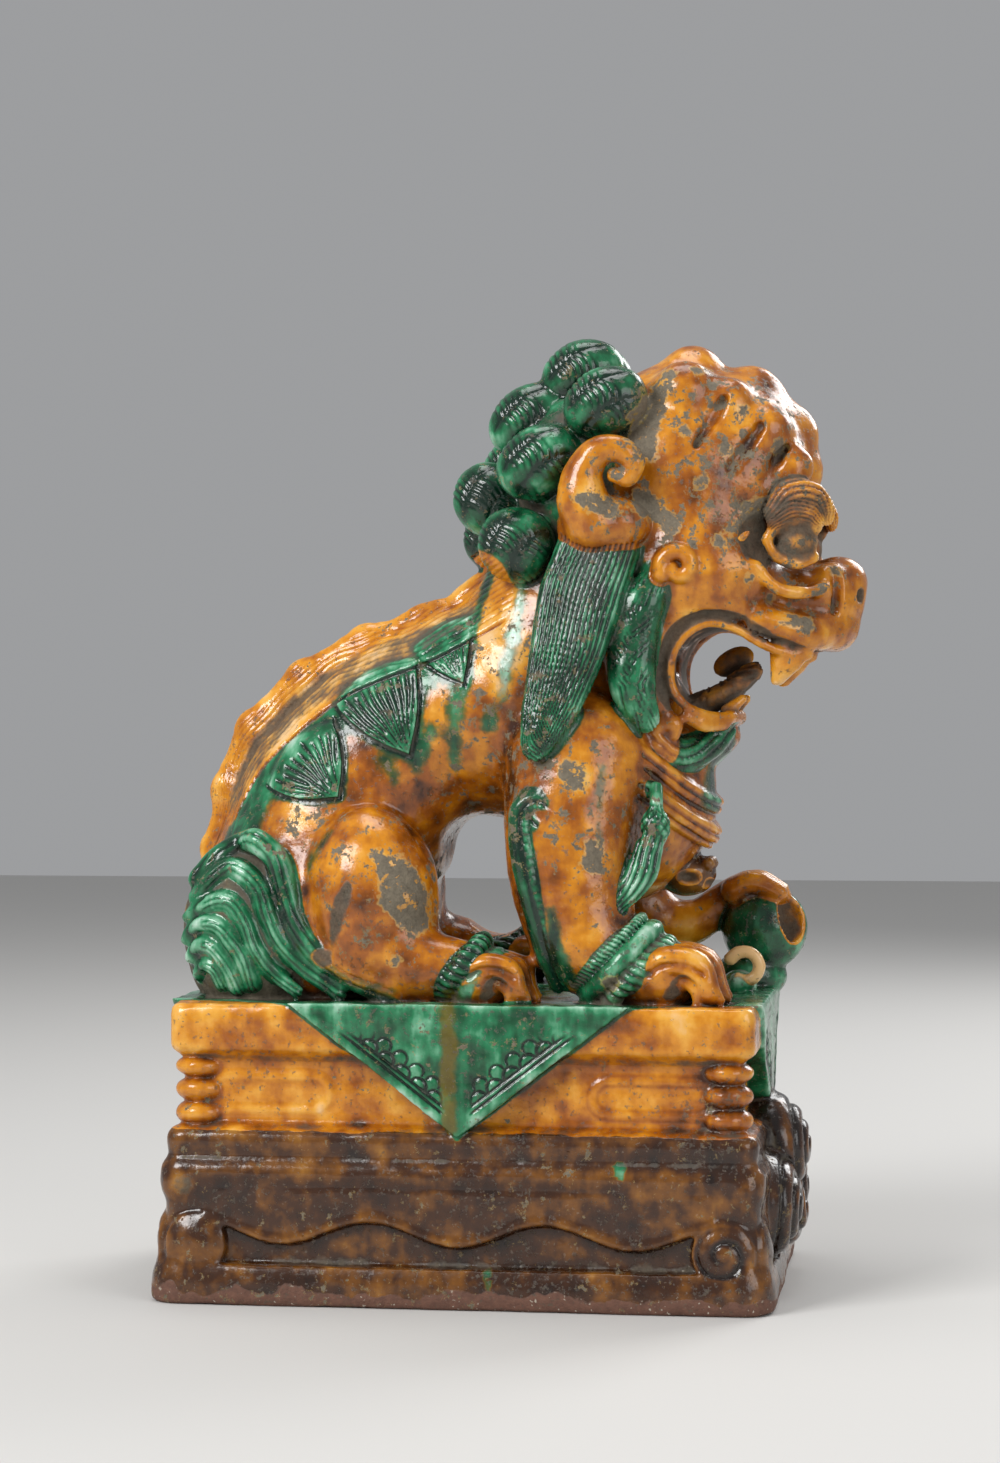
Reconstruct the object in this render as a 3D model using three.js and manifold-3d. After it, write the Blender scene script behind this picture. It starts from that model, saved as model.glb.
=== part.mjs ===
// A seated guardian lion of lead-glazed earthenware, one fired piece with its stepped plinth.
// Millimetres. +X is the way the lion faces, +Y its left, +Z up. The origin is under the
// middle of the plinth, on the surface that it stands on.
import * as THREE from "three";
import { mergeVertices } from "three/addons/utils/BufferGeometryUtils.js";
import Module from "manifold-3d";

const wasm = await Module();
wasm.setup();

// Driving dimensions
const tableTop = 131; // height of the surface that the lion sits on
const tableLength = 257;
const tableDepth = 172;
const baseFlare = 9; // how far the foot of the base stands out past the table, each side
const clothTip = 74; // height of the lowest point of the cloth that hangs over the table
const clayCell = 3.4; // spacing of the grid that the modelled clay is sampled on
const lionTriangles = 6300; // how many triangles the modelled lion keeps

// The modelled clay: forms joined or cut one after another, each as a distance in millimetres.

// Goes from 0 to 1 as v does, with no corner at either end.
function smooth(v) {
  const t = THREE.MathUtils.clamp(v, 0, 1);
  return t * t * (3 - 2 * t);
}

function softMin(a, b, blend) {
  if (blend <= 0) return Math.min(a, b);
  const h = Math.max(blend - Math.abs(a - b), 0) / blend;
  return Math.min(a, b) - (h * h * blend) / 4;
}

// An ellipsoid, turned by degrees about X, Y and Z in that order.
function egg(at, radii, turn = [0, 0, 0]) {
  const centre = new THREE.Vector3(...at);
  const angles = turn.map(THREE.MathUtils.degToRad);
  const back = new THREE.Quaternion()
    .setFromEuler(new THREE.Euler(...angles, "ZYX"))
    .invert();
  const reach = new THREE.Vector3().setScalar(Math.max(...radii));
  const [rx, ry, rz] = radii;
  const p = new THREE.Vector3();
  return {
    box: new THREE.Box3(centre.clone().sub(reach), centre.clone().add(reach)),
    distance(x, y, z) {
      p.set(x, y, z).sub(centre).applyQuaternion(back);
      const k0 = Math.hypot(p.x / rx, p.y / ry, p.z / rz);
      const k1 = Math.hypot(p.x / rx ** 2, p.y / ry ** 2, p.z / rz ** 2);
      return k1 > 1e-9 ? (k0 * (k0 - 1)) / k1 : -Math.min(rx, ry, rz);
    },
  };
}

const ball = (at, radius) => egg(at, [radius, radius, radius]);

// A rope of clay through points [x, y, z, radius]. flat squeezes it along one axis.
function rope(points, { flat = null, share = 1, steps = 4, closed = false } = {}) {
  const curve = new THREE.CatmullRomCurve3(
    points.map(([x, y, z]) => new THREE.Vector3(x, y, z)),
    closed,
    "centripetal",
  );
  const spans = closed ? points.length : points.length - 1;
  const count = spans * steps;
  const knots = [];
  for (let i = 0; i <= count; i++) {
    const t = i / count;
    const span = Math.min(Math.floor(t * spans), spans - 1);
    const local = t * spans - span;
    const r0 = points[span][3];
    const r1 = points[(span + 1) % points.length][3];
    knots.push({ at: curve.getPoint(t), r: r0 + (r1 - r0) * local });
  }
  const box = new THREE.Box3();
  for (const { at, r } of knots) {
    const grow = new THREE.Vector3().setScalar(r);
    box.expandByPoint(at.clone().sub(grow));
    box.expandByPoint(at.clone().add(grow));
  }
  const axis = flat ? new THREE.Vector3(...flat).normalize() : null;
  return {
    box,
    distance(x, y, z) {
      let best = Infinity;
      for (let i = 0; i < count; i++) {
        const a = knots[i];
        const b = knots[i + 1];
        const dx = b.at.x - a.at.x;
        const dy = b.at.y - a.at.y;
        const dz = b.at.z - a.at.z;
        const px = x - a.at.x;
        const py = y - a.at.y;
        const pz = z - a.at.z;
        const size = dx * dx + dy * dy + dz * dz;
        const t = Math.min(1, Math.max(0, (px * dx + py * dy + pz * dz) / size));
        let qx = px - dx * t;
        let qy = py - dy * t;
        let qz = pz - dz * t;
        if (axis) {
          const along = (qx * axis.x + qy * axis.y + qz * axis.z) * (1 / share - 1);
          qx += along * axis.x;
          qy += along * axis.y;
          qz += along * axis.z;
        }
        const d = (Math.hypot(qx, qy, qz) - (a.r + (b.r - a.r) * t)) * (axis ? share : 1);
        if (d < best) best = d;
      }
      return best;
    },
  };
}

// The points of a spiral in the XZ plane, from its outer end to its eye.
function spiral([x, y, z], { from, turns, outer, inner, thick, thin, count = 9, rise = 0 }) {
  const points = [];
  for (let i = 0; i < count; i++) {
    const t = i / (count - 1);
    const angle = THREE.MathUtils.degToRad(from + 360 * turns * t);
    const reach = outer + (inner - outer) * t;
    points.push([
      x + reach * Math.cos(angle),
      y + rise * t,
      z + reach * Math.sin(angle),
      thick + (thin - thick) * t,
    ]);
  }
  return points;
}

const mirrored = (points) => points.map(([x, y, ...rest]) => [x, -y, ...rest]);

// Collects forms in order, samples them on a grid and walks the surface between the samples.
class Clay {
  constructor(low, high, cell) {
    this.low = low;
    this.cell = cell;
    this.size = low.map((v, i) => Math.ceil((high[i] - v) / cell) + 1);
    this.field = new Float32Array(this.size[0] * this.size[1] * this.size[2]).fill(40);
  }

  // Visits the samples within a margin of a box, and change(x, y, z, now) gives each new value.
  each(box, margin, change) {
    const [nx, ny] = this.size;
    const range = ["x", "y", "z"].map((axis, i) => [
      Math.max(0, Math.floor((box.min[axis] - margin - this.low[i]) / this.cell)),
      Math.min(this.size[i] - 1, Math.ceil((box.max[axis] + margin - this.low[i]) / this.cell)),
    ]);
    for (let k = range[2][0]; k <= range[2][1]; k++)
      for (let j = range[1][0]; j <= range[1][1]; j++)
        for (let i = range[0][0]; i <= range[0][1]; i++) {
          const at = i + nx * (j + ny * k);
          const [x, y, z] = [i, j, k].map((n, axis) => this.low[axis] + n * this.cell);
          this.field[at] = change(x, y, z, this.field[at]);
        }
  }

  add(form, blend = 5) {
    this.each(form.box, blend + 2 * this.cell, (x, y, z, now) =>
      softMin(now, form.distance(x, y, z), blend),
    );
  }

  cut(form, blend = 3) {
    this.each(form.box, blend + 2 * this.cell, (x, y, z, now) =>
      -softMin(-now, form.distance(x, y, z), blend),
    );
  }

  // Raises the surface inside a box by height(x, y, z).
  raise(box, height) {
    this.each(box, 0, (x, y, z, now) => now - height(x, y, z));
  }

  // Adds a form on both sides of the lion: make(side) has side -1 near and 1 far.
  addPair(make, blend = 5) {
    for (const side of [-1, 1]) this.add(make(side), blend);
  }

  cutPair(make, blend = 3) {
    for (const side of [-1, 1]) this.cut(make(side), blend);
  }

  // Marching tetrahedra: each cube is six tetrahedra round its long diagonal.
  surface() {
    const [nx, ny, nz] = this.size;
    const strides = [1, nx, nx * ny];
    const offset = (bits) =>
      (bits & 1 ? strides[0] : 0) + (bits & 2 ? strides[1] : 0) + (bits & 4 ? strides[2] : 0);
    const tets = [
      [1, 2, 4], [1, 4, 2], [2, 1, 4], [2, 4, 1], [4, 1, 2], [4, 2, 1],
    ].map(([a, b]) => [0, a, a | b, 7].map(offset));
    const value = (i) => (Math.abs(this.field[i]) < 0.02 ? 0.02 : this.field[i]);
    const place = (i) => [
      this.low[0] + this.cell * (i % nx),
      this.low[1] + this.cell * (Math.floor(i / nx) % ny),
      this.low[2] + this.cell * Math.floor(i / (nx * ny)),
    ];
    const positions = [];
    const found = new Map();
    const crossing = (a, b) => {
      const key = Math.min(a, b) * 1e8 + Math.max(a, b);
      if (!found.has(key)) {
        const t = value(a) / (value(a) - value(b));
        const pa = place(a);
        const pb = place(b);
        found.set(key, positions.length);
        positions.push(pa.map((v, axis) => v + (pb[axis] - v) * t));
      }
      return found.get(key);
    };
    const triangles = [];
    const face = (a, b, c, inside, outside) => {
      const [pa, pb, pc] = [a, b, c].map((i) => new THREE.Vector3(...positions[i]));
      const normal = pb.sub(pa).cross(pc.sub(pa));
      const out = new THREE.Vector3(...place(outside)).sub(new THREE.Vector3(...place(inside)));
      triangles.push(normal.dot(out) > 0 ? [a, b, c] : [a, c, b]);
    };
    for (let k = 0; k < nz - 1; k++)
      for (let j = 0; j < ny - 1; j++)
        for (let i = 0; i < nx - 1; i++) {
          const corner = i + strides[1] * j + strides[2] * k;
          for (const tet of tets) {
            const all = tet.map((o) => corner + o);
            const inside = all.filter((v) => value(v) < 0);
            const outside = all.filter((v) => value(v) >= 0);
            if (!inside.length || !outside.length) continue;
            const cross = inside.map((a) => outside.map((b) => crossing(a, b)));
            if (inside.length === 1) face(...cross[0], inside[0], outside[0]);
            else if (outside.length === 1)
              face(cross[0][0], cross[1][0], cross[2][0], inside[0], outside[0]);
            else {
              face(cross[0][0], cross[0][1], cross[1][1], inside[0], outside[0]);
              face(cross[0][0], cross[1][1], cross[1][0], inside[0], outside[0]);
            }
          }
        }
    return { positions, triangles };
  }
}

// Merges edges, the flattest first, until few enough triangles are left. Each point carries
// the sum of the squared distances to the planes of the triangles that it stands for.
function simplify({ positions, triangles }, keep) {
  const quadric = positions.map(() => new Float64Array(10));
  const around = positions.map(() => new Set());
  const live = triangles.map(() => true);
  const stamp = new Int32Array(positions.length);
  const normalOf = ([a, b, c]) => {
    const ux = b[0] - a[0], uy = b[1] - a[1], uz = b[2] - a[2];
    const vx = c[0] - a[0], vy = c[1] - a[1], vz = c[2] - a[2];
    return [uy * vz - uz * vy, uz * vx - ux * vz, ux * vy - uy * vx];
  };
  triangles.forEach((tri, t) => {
    const corners = tri.map((i) => positions[i]);
    const n = normalOf(corners);
    const area = Math.hypot(...n);
    tri.forEach((i) => around[i].add(t));
    if (area < 1e-12) return;
    const [a, b, c] = n.map((v) => v / area);
    const d = -(a * corners[0][0] + b * corners[0][1] + c * corners[0][2]);
    const terms = [a * a, a * b, a * c, a * d, b * b, b * c, b * d, c * c, c * d, d * d];
    tri.forEach((i) => terms.forEach((v, q) => (quadric[i][q] += v * area)));
  });
  const errorAt = (q, [x, y, z]) =>
    q[0] * x * x + 2 * q[1] * x * y + 2 * q[2] * x * z + 2 * q[3] * x + q[4] * y * y +
    2 * q[5] * y * z + 2 * q[6] * y + q[7] * z * z + 2 * q[8] * z + q[9];
  const bestPoint = (q, a, b) => {
    const m = new THREE.Matrix3().set(q[0], q[1], q[2], q[1], q[4], q[5], q[2], q[5], q[7]);
    const middle = a.map((v, i) => (v + b[i]) / 2);
    const choices = [middle, a, b];
    const span = Math.hypot(a[0] - b[0], a[1] - b[1], a[2] - b[2]);
    if (Math.abs(m.determinant()) > 1e-3 * (q[0] + q[4] + q[7]) ** 3) {
      const p = new THREE.Vector3(-q[3], -q[6], -q[8]).applyMatrix3(m.invert());
      const away = Math.hypot(p.x - middle[0], p.y - middle[1], p.z - middle[2]);
      if (away < span) choices.unshift([p.x, p.y, p.z]);
    }
    const costs = choices.map((p) => errorAt(q, p));
    const least = Math.min(...costs);
    return { at: choices[costs.indexOf(least)], cost: Math.max(0, least) + 1e-4 * span * span };
  };

  const heap = [];
  const swap = (i, j) => ([heap[i], heap[j]] = [heap[j], heap[i]]);
  const push = (item) => {
    heap.push(item);
    let i = heap.length - 1;
    while (i > 0 && heap[(i - 1) >> 1].cost > heap[i].cost) {
      swap(i, (i - 1) >> 1);
      i = (i - 1) >> 1;
    }
  };
  const pop = () => {
    const top = heap[0];
    const last = heap.pop();
    if (heap.length) {
      heap[0] = last;
      for (let i = 0; ; ) {
        const [l, r] = [2 * i + 1, 2 * i + 2];
        let m = i;
        if (l < heap.length && heap[l].cost < heap[m].cost) m = l;
        if (r < heap.length && heap[r].cost < heap[m].cost) m = r;
        if (m === i) break;
        swap(i, m);
        i = m;
      }
    }
    return top;
  };
  const offer = (a, b) => {
    const q = quadric[a].map((v, i) => v + quadric[b][i]);
    push({ a, b, stamps: [stamp[a], stamp[b]], ...bestPoint(q, positions[a], positions[b]) });
  };
  const neighbours = (i) => {
    const set = new Set();
    for (const t of around[i]) for (const j of triangles[t]) if (j !== i) set.add(j);
    return set;
  };
  positions.forEach((_, a) => {
    for (const b of neighbours(a)) if (a < b) offer(a, b);
  });

  const turnsOver = (i, other, at) => {
    for (const t of around[i]) {
      const tri = triangles[t];
      if (tri.includes(other)) continue;
      const before = normalOf(tri.map((j) => positions[j]));
      const after = normalOf(tri.map((j) => (j === i ? at : positions[j])));
      const dot = before[0] * after[0] + before[1] * after[1] + before[2] * after[2];
      if (dot <= 0.15 * Math.hypot(...before) * Math.hypot(...after)) return true;
    }
    return false;
  };
  let left = triangles.length;
  while (left > keep && heap.length) {
    const { a, b, at, stamps } = pop();
    if (stamp[a] !== stamps[0] || stamp[b] !== stamps[1] || !around[a].size) continue;
    const nextToB = neighbours(b);
    const shared = [...neighbours(a)].filter((i) => nextToB.has(i));
    if (shared.length !== 2 || turnsOver(a, b, at) || turnsOver(b, a, at)) continue;
    positions[a] = at;
    quadric[b].forEach((v, i) => (quadric[a][i] += v));
    for (const t of [...around[b]]) {
      const tri = triangles[t];
      if (tri.includes(a)) {
        live[t] = false;
        left--;
        tri.forEach((i) => around[i].delete(t));
      } else {
        tri[tri.indexOf(b)] = a;
        around[a].add(t);
      }
    }
    around[b].clear();
    stamp[b]++;
    stamp[a]++;
    for (const i of neighbours(a)) offer(a, i);
  }
  return { positions, triangles: triangles.filter((_, t) => live[t]) };
}

// The lion's forms

function torso(clay) {
  clay.add(
    rope([
      [-80, 0, 178, 50],
      [-62, 0, 214, 52],
      [-22, 0, 252, 47],
      [22, 0, 268, 52],
      [42, 0, 302, 46],
    ]),
    12,
  );
  clay.addPair((side) => egg([-72, side * 30, 168], [46, 38, 50]), 14); // rump
  clay.add(egg([61, 0, 224], [45, 49, 52]), 14); // chest
}

// The space under the belly, between the hind legs and the forelegs.
function underBelly(clay) {
  for (let y = -36; y <= 84; y += 20)
    clay.cut(rope([[-2, y, 168, 15], [-2, y, 197, 15]], { flat: [0, 1, 0], share: 1.6 }), 5);
}

// The crest is a flange along the spine with a scalloped edge.
function spineCrest(clay) {
  const line = new THREE.CatmullRomCurve3(
    [
      [-126, 172], [-123, 190], [-118, 216], [-111, 240], [-95, 261], [-72, 279], [-48, 290],
      [-24, 299], [0, 312],
    ].map(([x, z]) => new THREE.Vector3(x, 0, z)),
  );
  const scallops = 9;
  const points = [];
  for (let i = 0; i <= 4 * scallops; i++) {
    const { x, z } = line.getPoint(i / (4 * scallops));
    points.push([x, 0, z, 11 + 1.8 * Math.cos((i * Math.PI) / 2)]);
  }
  clay.add(rope(points, { flat: [0, 1, 0], share: 0.6, steps: 1 }), 4);
}

// The haunch, with the crease between thigh and shank. The far one sits back a little.
function haunch(clay, side, back) {
  clay.add(egg([-43 - back, side * 52, 177], [30.5, 29, 40], [0, -8, 0]), 4);
  clay.add(
    rope([
      [-42 - back, side * 58, 156, 20],
      [-22 - back * 0.6, side * 60, 147, 17],
      [-2, side * 62, 145, 13],
    ]),
    7,
  );
  clay.cut(
    rope([
      [-54 - back, side * 84, 176, 3],
      [-58 - back, side * 83, 165, 4.5],
      [-62 - back, side * 80, 152, 5],
    ]),
    5,
  );
}

// A paw at rest: knuckles that arch over four toes with blunt claws.
function paw(clay, [x, y, z], size) {
  clay.add(egg([x - 9 * size, y, z + 10 * size], [17 * size, 18 * size, 13 * size]), 5);
  for (const toe of [-1.5, -0.5, 0.5, 1.5]) {
    const ty = y + toe * 9.6 * size;
    const reach = 4 - Math.abs(toe) * 2;
    const arch = [
      [x - 6 * size, ty, z + 18 * size, 6 * size],
      [x + (5 + reach) * size, ty, z + 16 * size, 6.4 * size],
      [x + (10 + reach) * size, ty, z + 5.5 * size, 5 * size],
    ];
    const claw = [
      [x + (11 + reach) * size, ty, z + 6 * size, 3.4 * size],
      [x + (15 + reach) * size, ty, z + 2.5 * size, 2 * size],
    ];
    clay.add(rope(arch), 2);
    clay.add(rope(claw), 1.5);
  }
}

// A fringe of fur round an ankle, as two bands that slant down and back.
function cuff(clay, [x, y, z], reach, slant) {
  const tilt = THREE.MathUtils.degToRad(slant);
  for (const [shift, thick] of [[-6, 4.6], [3, 4.2]]) {
    const points = [];
    for (let i = 0; i < 10; i++) {
      const angle = (i / 10) * 2 * Math.PI;
      const across = reach * Math.cos(angle);
      points.push([
        x + shift * Math.cos(tilt) + across * Math.sin(tilt),
        y + reach * 0.92 * Math.sin(angle),
        z + across * Math.cos(tilt) - shift * Math.sin(tilt),
        thick,
      ]);
    }
    clay.add(rope(points, { closed: true, steps: 3 }), 2);
  }
}

function hindLeg(clay, side, back) {
  haunch(clay, side, back);
  paw(clay, [15, side * 62, tableTop], 0.92);
  cuff(clay, [4, side * 62, tableTop + 12], 13.5, 38);
}

function standingForeleg(clay, side) {
  clay.add(
    rope([
      [47, side * 36, 236, 34],
      [45, side * 44, 206, 30],
      [46, side * 48, 180, 27],
      [54, side * 52, 156, 23],
      [74, side * 55, 144, 15],
    ]),
    7,
  );
  paw(clay, [96, side * 58, tableTop], 1.08);
  cuff(clay, [71, side * 55, tableTop + 15], 20.5, 44);
}

// The raised leg reaches forward from its elbow, and its toes lie over a hollow ball.
function raisedForeleg(clay, side) {
  clay.add(
    rope([
      [50, side * 34, 236, 32],
      [56, side * 40, 202, 25],
      [64, side * 44, 172, 17],
      [80, side * 44, 160, 13],
      [95, side * 43, 162, 10],
      [107, side * 42, 171, 8.5],
      [116, side * 41, 176, 8],
    ]),
    6,
  );
}

function ballUnderPaw(clay, side) {
  clay.add(egg([119, side * 40, 136], [17, 17, 12]), 4); // the lump of clay that it stands on
  clay.add(ball([125.5, side * 40, 158.5], 20), 2);
  clay.cut(egg([139, side * 29, 163.5], [11, 8, 11], [0, 0, side * -40]), 1); // broken open
  for (const toe of [-1.2, -0.4, 0.4, 1.2]) {
    const reach = [
      [112, side * 42 + toe * 9, 176, 6.5],
      [122, side * 41 + toe * 10, 180, 5.4],
      [133, side * 40 + toe * 10, 175.5, 4],
    ];
    clay.add(rope(reach), 2);
  }
  const ribbonEnd = spiral([119, side * -2, 143], {
    from: 150, turns: -0.75, outer: 7.5, inner: 6, thick: 3.6, thin: 3.2, count: 7,
  });
  clay.add(rope(ribbonEnd), 1.5);
  clay.add(egg([116, side * 8, 134], [8, 12, 7]), 3);
}

// The curl of fur that climbs the back of the near foreleg from the ankle.
function elbowFlame(clay, side) {
  const curl = spiral([33, side * 66, 213], {
    from: 195, turns: -0.95, outer: 8.5, inner: 3.5, thick: 5.2, thin: 4, count: 8,
  });
  const stem = [
    [41, side * 58, 139, 4.6],
    [36.5, side * 63, 152, 5.2],
    [31.5, side * 67, 172, 5.6],
    [27, side * 68, 192, 5.8],
  ];
  clay.add(rope([...stem, ...curl]), 2);
}

function skull(clay) {
  clay.add(egg([90, 0, 358], [52, 50, 60]), 10);
  clay.add(egg([117, 0, 371], [33, 40, 40]), 10); // forehead
  clay.addPair((side) => egg([98, side * 26, 322], [36, 28, 30]), 10); // cheeks
  const crown = [[95, 0, 411, 15], [122, 0, 401, 15], [138, 0, 384, 14], [142, 0, 368, 12]];
  for (const [x, y, z, r] of crown) clay.add(ball([x, y, z], r), 6);
  const beside = [[94, 27, 401, 15], [113, 28, 396, 12], [130, 27, 384, 12], [141, 24, 368, 10]];
  for (const [x, y, z, r] of beside)
    clay.addPair((side) => ball([x, side * y, z], r), 5);
}

function muzzle(clay) {
  const bridge = [
    [92, 0, 312, 32],
    [120, 0, 309, 30],
    [148, 0, 309, 25],
  ];
  clay.add(rope(bridge, { flat: [0, 0, 1], share: 0.72 }), 9);
  clay.add(egg([162, 0, 318], [12.5, 15, 11.5]), 4); // nose
  clay.addPair((side) => ball([158, side * 13, 317], 8.5), 3);
  clay.cutPair((side) => ball([169, side * 11, 313], 3.6), 1.5);
  clay.add(egg([158, 0, 297], [12.5, 15, 11]), 4); // the upper lip, in front
  const lip = (side) => [
    [157, side * 10, 296, 9],
    [146, side * 27, 294, 8],
    [128, side * 34, 299, 7],
  ];
  clay.addPair((side) => rope(lip(side)), 5);
  clay.cutPair((side) => egg([132, side * 42, 335], [11, 9, 12]), 5); // the eye's hollow
  clay.addPair((side) => egg([143, side * 28, 334], [12, 12, 12]), 2); // eyeball
  const brow = (side) => [
    [135, side * 39, 348, 4.5],
    [144, side * 36, 356.5, 7.5],
    [152, side * 31, 353, 6.5],
    [156.5, side * 26, 346, 3.5],
  ];
  clay.addPair((side) => rope(brow(side), { steps: 5 }), 2.5);
}

// The jaws stand open, and the mouth goes right through from cheek to cheek.
function mouth(clay) {
  const lowerJaw = [
    [76, 0, 260, 28],
    [88, 0, 251, 24],
    [97, 0, 248, 20],
  ];
  clay.add(rope(lowerJaw, { flat: [0, 0, 1], share: 0.58 }), 8);
  clay.addPair((side) => egg([78, side * 30, 285], [17, 20, 30]), 8); // hinge of the jaw
  const gape = [
    [109.5, 277, 18.5],
    [126, 276, 17],
    [150, 267, 19],
    [172, 260, 22],
  ];
  for (const y of [-60, -40, -20, 0, 20, 40, 60])
    clay.cut(rope(gape.map(([x, z, r]) => [x, y, z, r]), { flat: [0, 1, 0], share: 1.6 }), 2);
  // The rolled rim of the lips, from the lower lip round the corner to the upper
  const rim = (side) => [
    [113, side * 20, 256.5, 3.8],
    [103, side * 32, 256, 3.8],
    [94, side * 39, 260, 3.6],
    [89.5, side * 41, 268, 3.6],
    [89, side * 42, 276, 3.6],
    [92.5, side * 42, 285, 3.6],
    [100, side * 42, 293, 3.6],
    [109, side * 41, 297, 3.8],
    [120, side * 38, 294.5, 4],
    [133, side * 33, 287.5, 4.4],
    [148, side * 24, 284, 4.4],
  ];
  clay.addPair((side) => rope(rim(side)), 1.5);
  clay.add(rope([[113, -20, 256.5, 3.8], [116, 0, 256.5, 4], [113, 20, 256.5, 3.8]]), 1.5);
  const fang = (side) => [
    [138, side * 26, 287, 7.5],
    [137, side * 26, 280, 6.2],
    [134, side * 25, 272.5, 3],
  ];
  clay.addPair((side) => rope(fang(side)), 1.5);
  const tongue = [
    [92, 0, 260, 13],
    [106, 0, 265, 15],
    [117, 0, 273, 12],
    [120, 0, 278, 7],
  ];
  clay.add(rope(tongue, { flat: [-0.5, 0, 0.85], share: 0.45 }), 2);
  clay.add(egg([113, 12, 282], [10, 5, 6], [0, -25, 0]), 2); // its curled edge, far side
  clay.addPair((side) => rope([[112, side * 15, 259, 3.4], [119, side * 13, 265, 2]]), 1);
}

function beard(clay) {
  const tuft = (side) => [
    [110, side * 13, 251, 6],
    [105, side * 18, 245, 7],
    [97, side * 25, 240.5, 7.5],
    [89, side * 32, 240.5, 7.5],
    [83, side * 37, 245, 6.5],
    [83.5, side * 39, 252, 5.2],
    [90, side * 39, 252, 4.4],
  ];
  clay.addPair((side) => rope(tuft(side)), 2);
  clay.add(egg([103, 0, 245], [9, 16, 9]), 4);
}

// The ear is a fat comma that ends in a scroll.
function ear(clay) {
  clay.addPair((side) => egg([60, side * 51, 342], [20.5, 15, 13]), 3);
  const rolled = (side) => [
    [56, side * 56, 342, 13],
    [51.5, side * 58, 352, 11.5],
    [52, side * 59, 364, 8.5],
    [58.5, side * 60, 373, 6.8],
    [68, side * 60, 373.5, 6],
    [74, side * 59, 368, 5.5],
    [71, side * 59, 361.5, 4.6],
    [65.5, side * 59, 362.5, 3.6],
  ];
  clay.addPair((side) => rope(rolled(side)), 2);
}

// The combed locks of the mane: leaves of clay, squeezed flat against the neck.
function combedLocks(clay) {
  const long = (side) => [
    [57.5, side * 49, 331, 18],
    [50, side * 55, 308, 19],
    [45, side * 58, 283.5, 16.5],
    [40, side * 58, 264, 13.5],
    [35, side * 58, 249, 9],
    [33, side * 58, 243, 6.5],
  ];
  clay.addPair((side) => rope(long(side), { flat: [0, 1, 0], share: 0.58 }), 2);
  const short = (side) => [
    [85, side * 47, 321, 6],
    [77, side * 50, 306, 10],
    [72.5, side * 50, 290, 11],
    [73, side * 48, 270, 10.5],
    [77.5, side * 43, 256, 6],
  ];
  clay.addPair((side) => rope(short(side), { flat: [0, 1, 0], share: 0.7 }), 2);
  const whiskerCurl = (side) =>
    spiral([93, side * 47, 322], {
      from: 200, turns: -0.9, outer: 9, inner: 4, thick: 4.4, thin: 3.6, count: 8,
    });
  clay.addPair((side) => rope(whiskerCurl(side)), 1.5);
}

// Snail curls in rows down the back of the head and neck.
const maneRows = [
  { middle: [38, 402], inner: [47, 17, 411], outer: [60, 43, 396], size: [18, 13.5, 15], tilt: -25 },
  { middle: [16, 372], inner: [23, 17, 391], outer: [30, 43, 370], size: [18.5, 14, 15], tilt: -32 },
  { middle: [5, 338], inner: [5, 17, 355], outer: [20, 42, 333], size: [16, 13, 17], tilt: -50 },
];

function mane(clay) {
  clay.add(egg([46, 0, 365], [36, 46, 46]), 8);
  for (const { middle, inner, outer, size, tilt } of maneRows) {
    for (const [x, y, z] of [inner, outer])
      clay.addPair((side) => egg([x, side * y, z], size, [0, tilt, 0]), 2);
    clay.add(egg([middle[0], 0, middle[1]], size.map((r) => r * 0.9), [0, tilt, 0]), 2);
  }
}

function collar(clay) {
  const straps = [
    [[40, 48, 249], [54, 50, 241], [67, 48, 230], [80, 43, 221], [94, 28, 210], [103, 0, 203]],
    [[56, 47, 253], [68, 46, 244], [81, 41, 234], [94, 29, 223], [104, 0, 216]],
  ];
  for (const strap of straps) {
    const near = strap.map(([x, y, z]) => [x, -y, z, 6]);
    const far = mirrored(near).reverse().slice(1);
    clay.add(rope([...near, ...far], { flat: [0.6, 0, -0.3], share: 0.8 }), 2);
  }
  clay.add(egg([93, 0, 185], [13, 13, 10]), 2); // bell
  clay.cut(rope([[103, -7, 181, 1.8], [106, 0, 180, 1.8], [103, 7, 181, 1.8]]), 1);
}

function tassels(clay) {
  clay.addPair((side) => rope([[83, side * 49, 225, 4], [83.5, side * 53, 215, 4]]), 1.5);
  clay.addPair((side) => egg([83.3, side * 55, 208], [7, 6, 9]), 1.5);
  const fringe = (side) => [
    [80.5, side * 57, 199, 6.5],
    [78, side * 59, 189, 7],
    [73, side * 61, 180, 5.5],
    [68.5, side * 62, 174, 3.2],
  ];
  clay.addPair((side) => rope(fringe(side), { flat: [0, 1, 0], share: 0.75 }), 1.5);
}

// Fans of fur lie on the flank, each spread from its foot between two angles.
const flankFans = [
  { foot: [-57, 219], reach: 38, from: 92, to: 178 },
  { foot: [-26, 237], reach: 47, from: 84, to: 152 },
  { foot: [-1.5, 269], reach: 34, from: 86, to: 152 },
];
const fanHeight = 3.4;

function fans(clay) {
  for (const { foot: [x, z], reach, from, to } of flankFans) {
    const box = new THREE.Box3(
      new THREE.Vector3(x - reach, -80, z - 5),
      new THREE.Vector3(x + 8, 80, z + reach),
    );
    clay.raise(box, (px, py, pz) => {
      const radius = Math.hypot(px - x, pz - z);
      const angle = Math.atan2(pz - z, px - x);
      const half = THREE.MathUtils.degToRad((to - from) / 2);
      const off = Math.abs(angle - THREE.MathUtils.degToRad((from + to) / 2));
      const fromEdge = Math.min(reach - radius, (half - off) * radius);
      return fanHeight * smooth(fromEdge / 4) * smooth((Math.abs(py) - 14) / 10);
    });
  }
}

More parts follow.
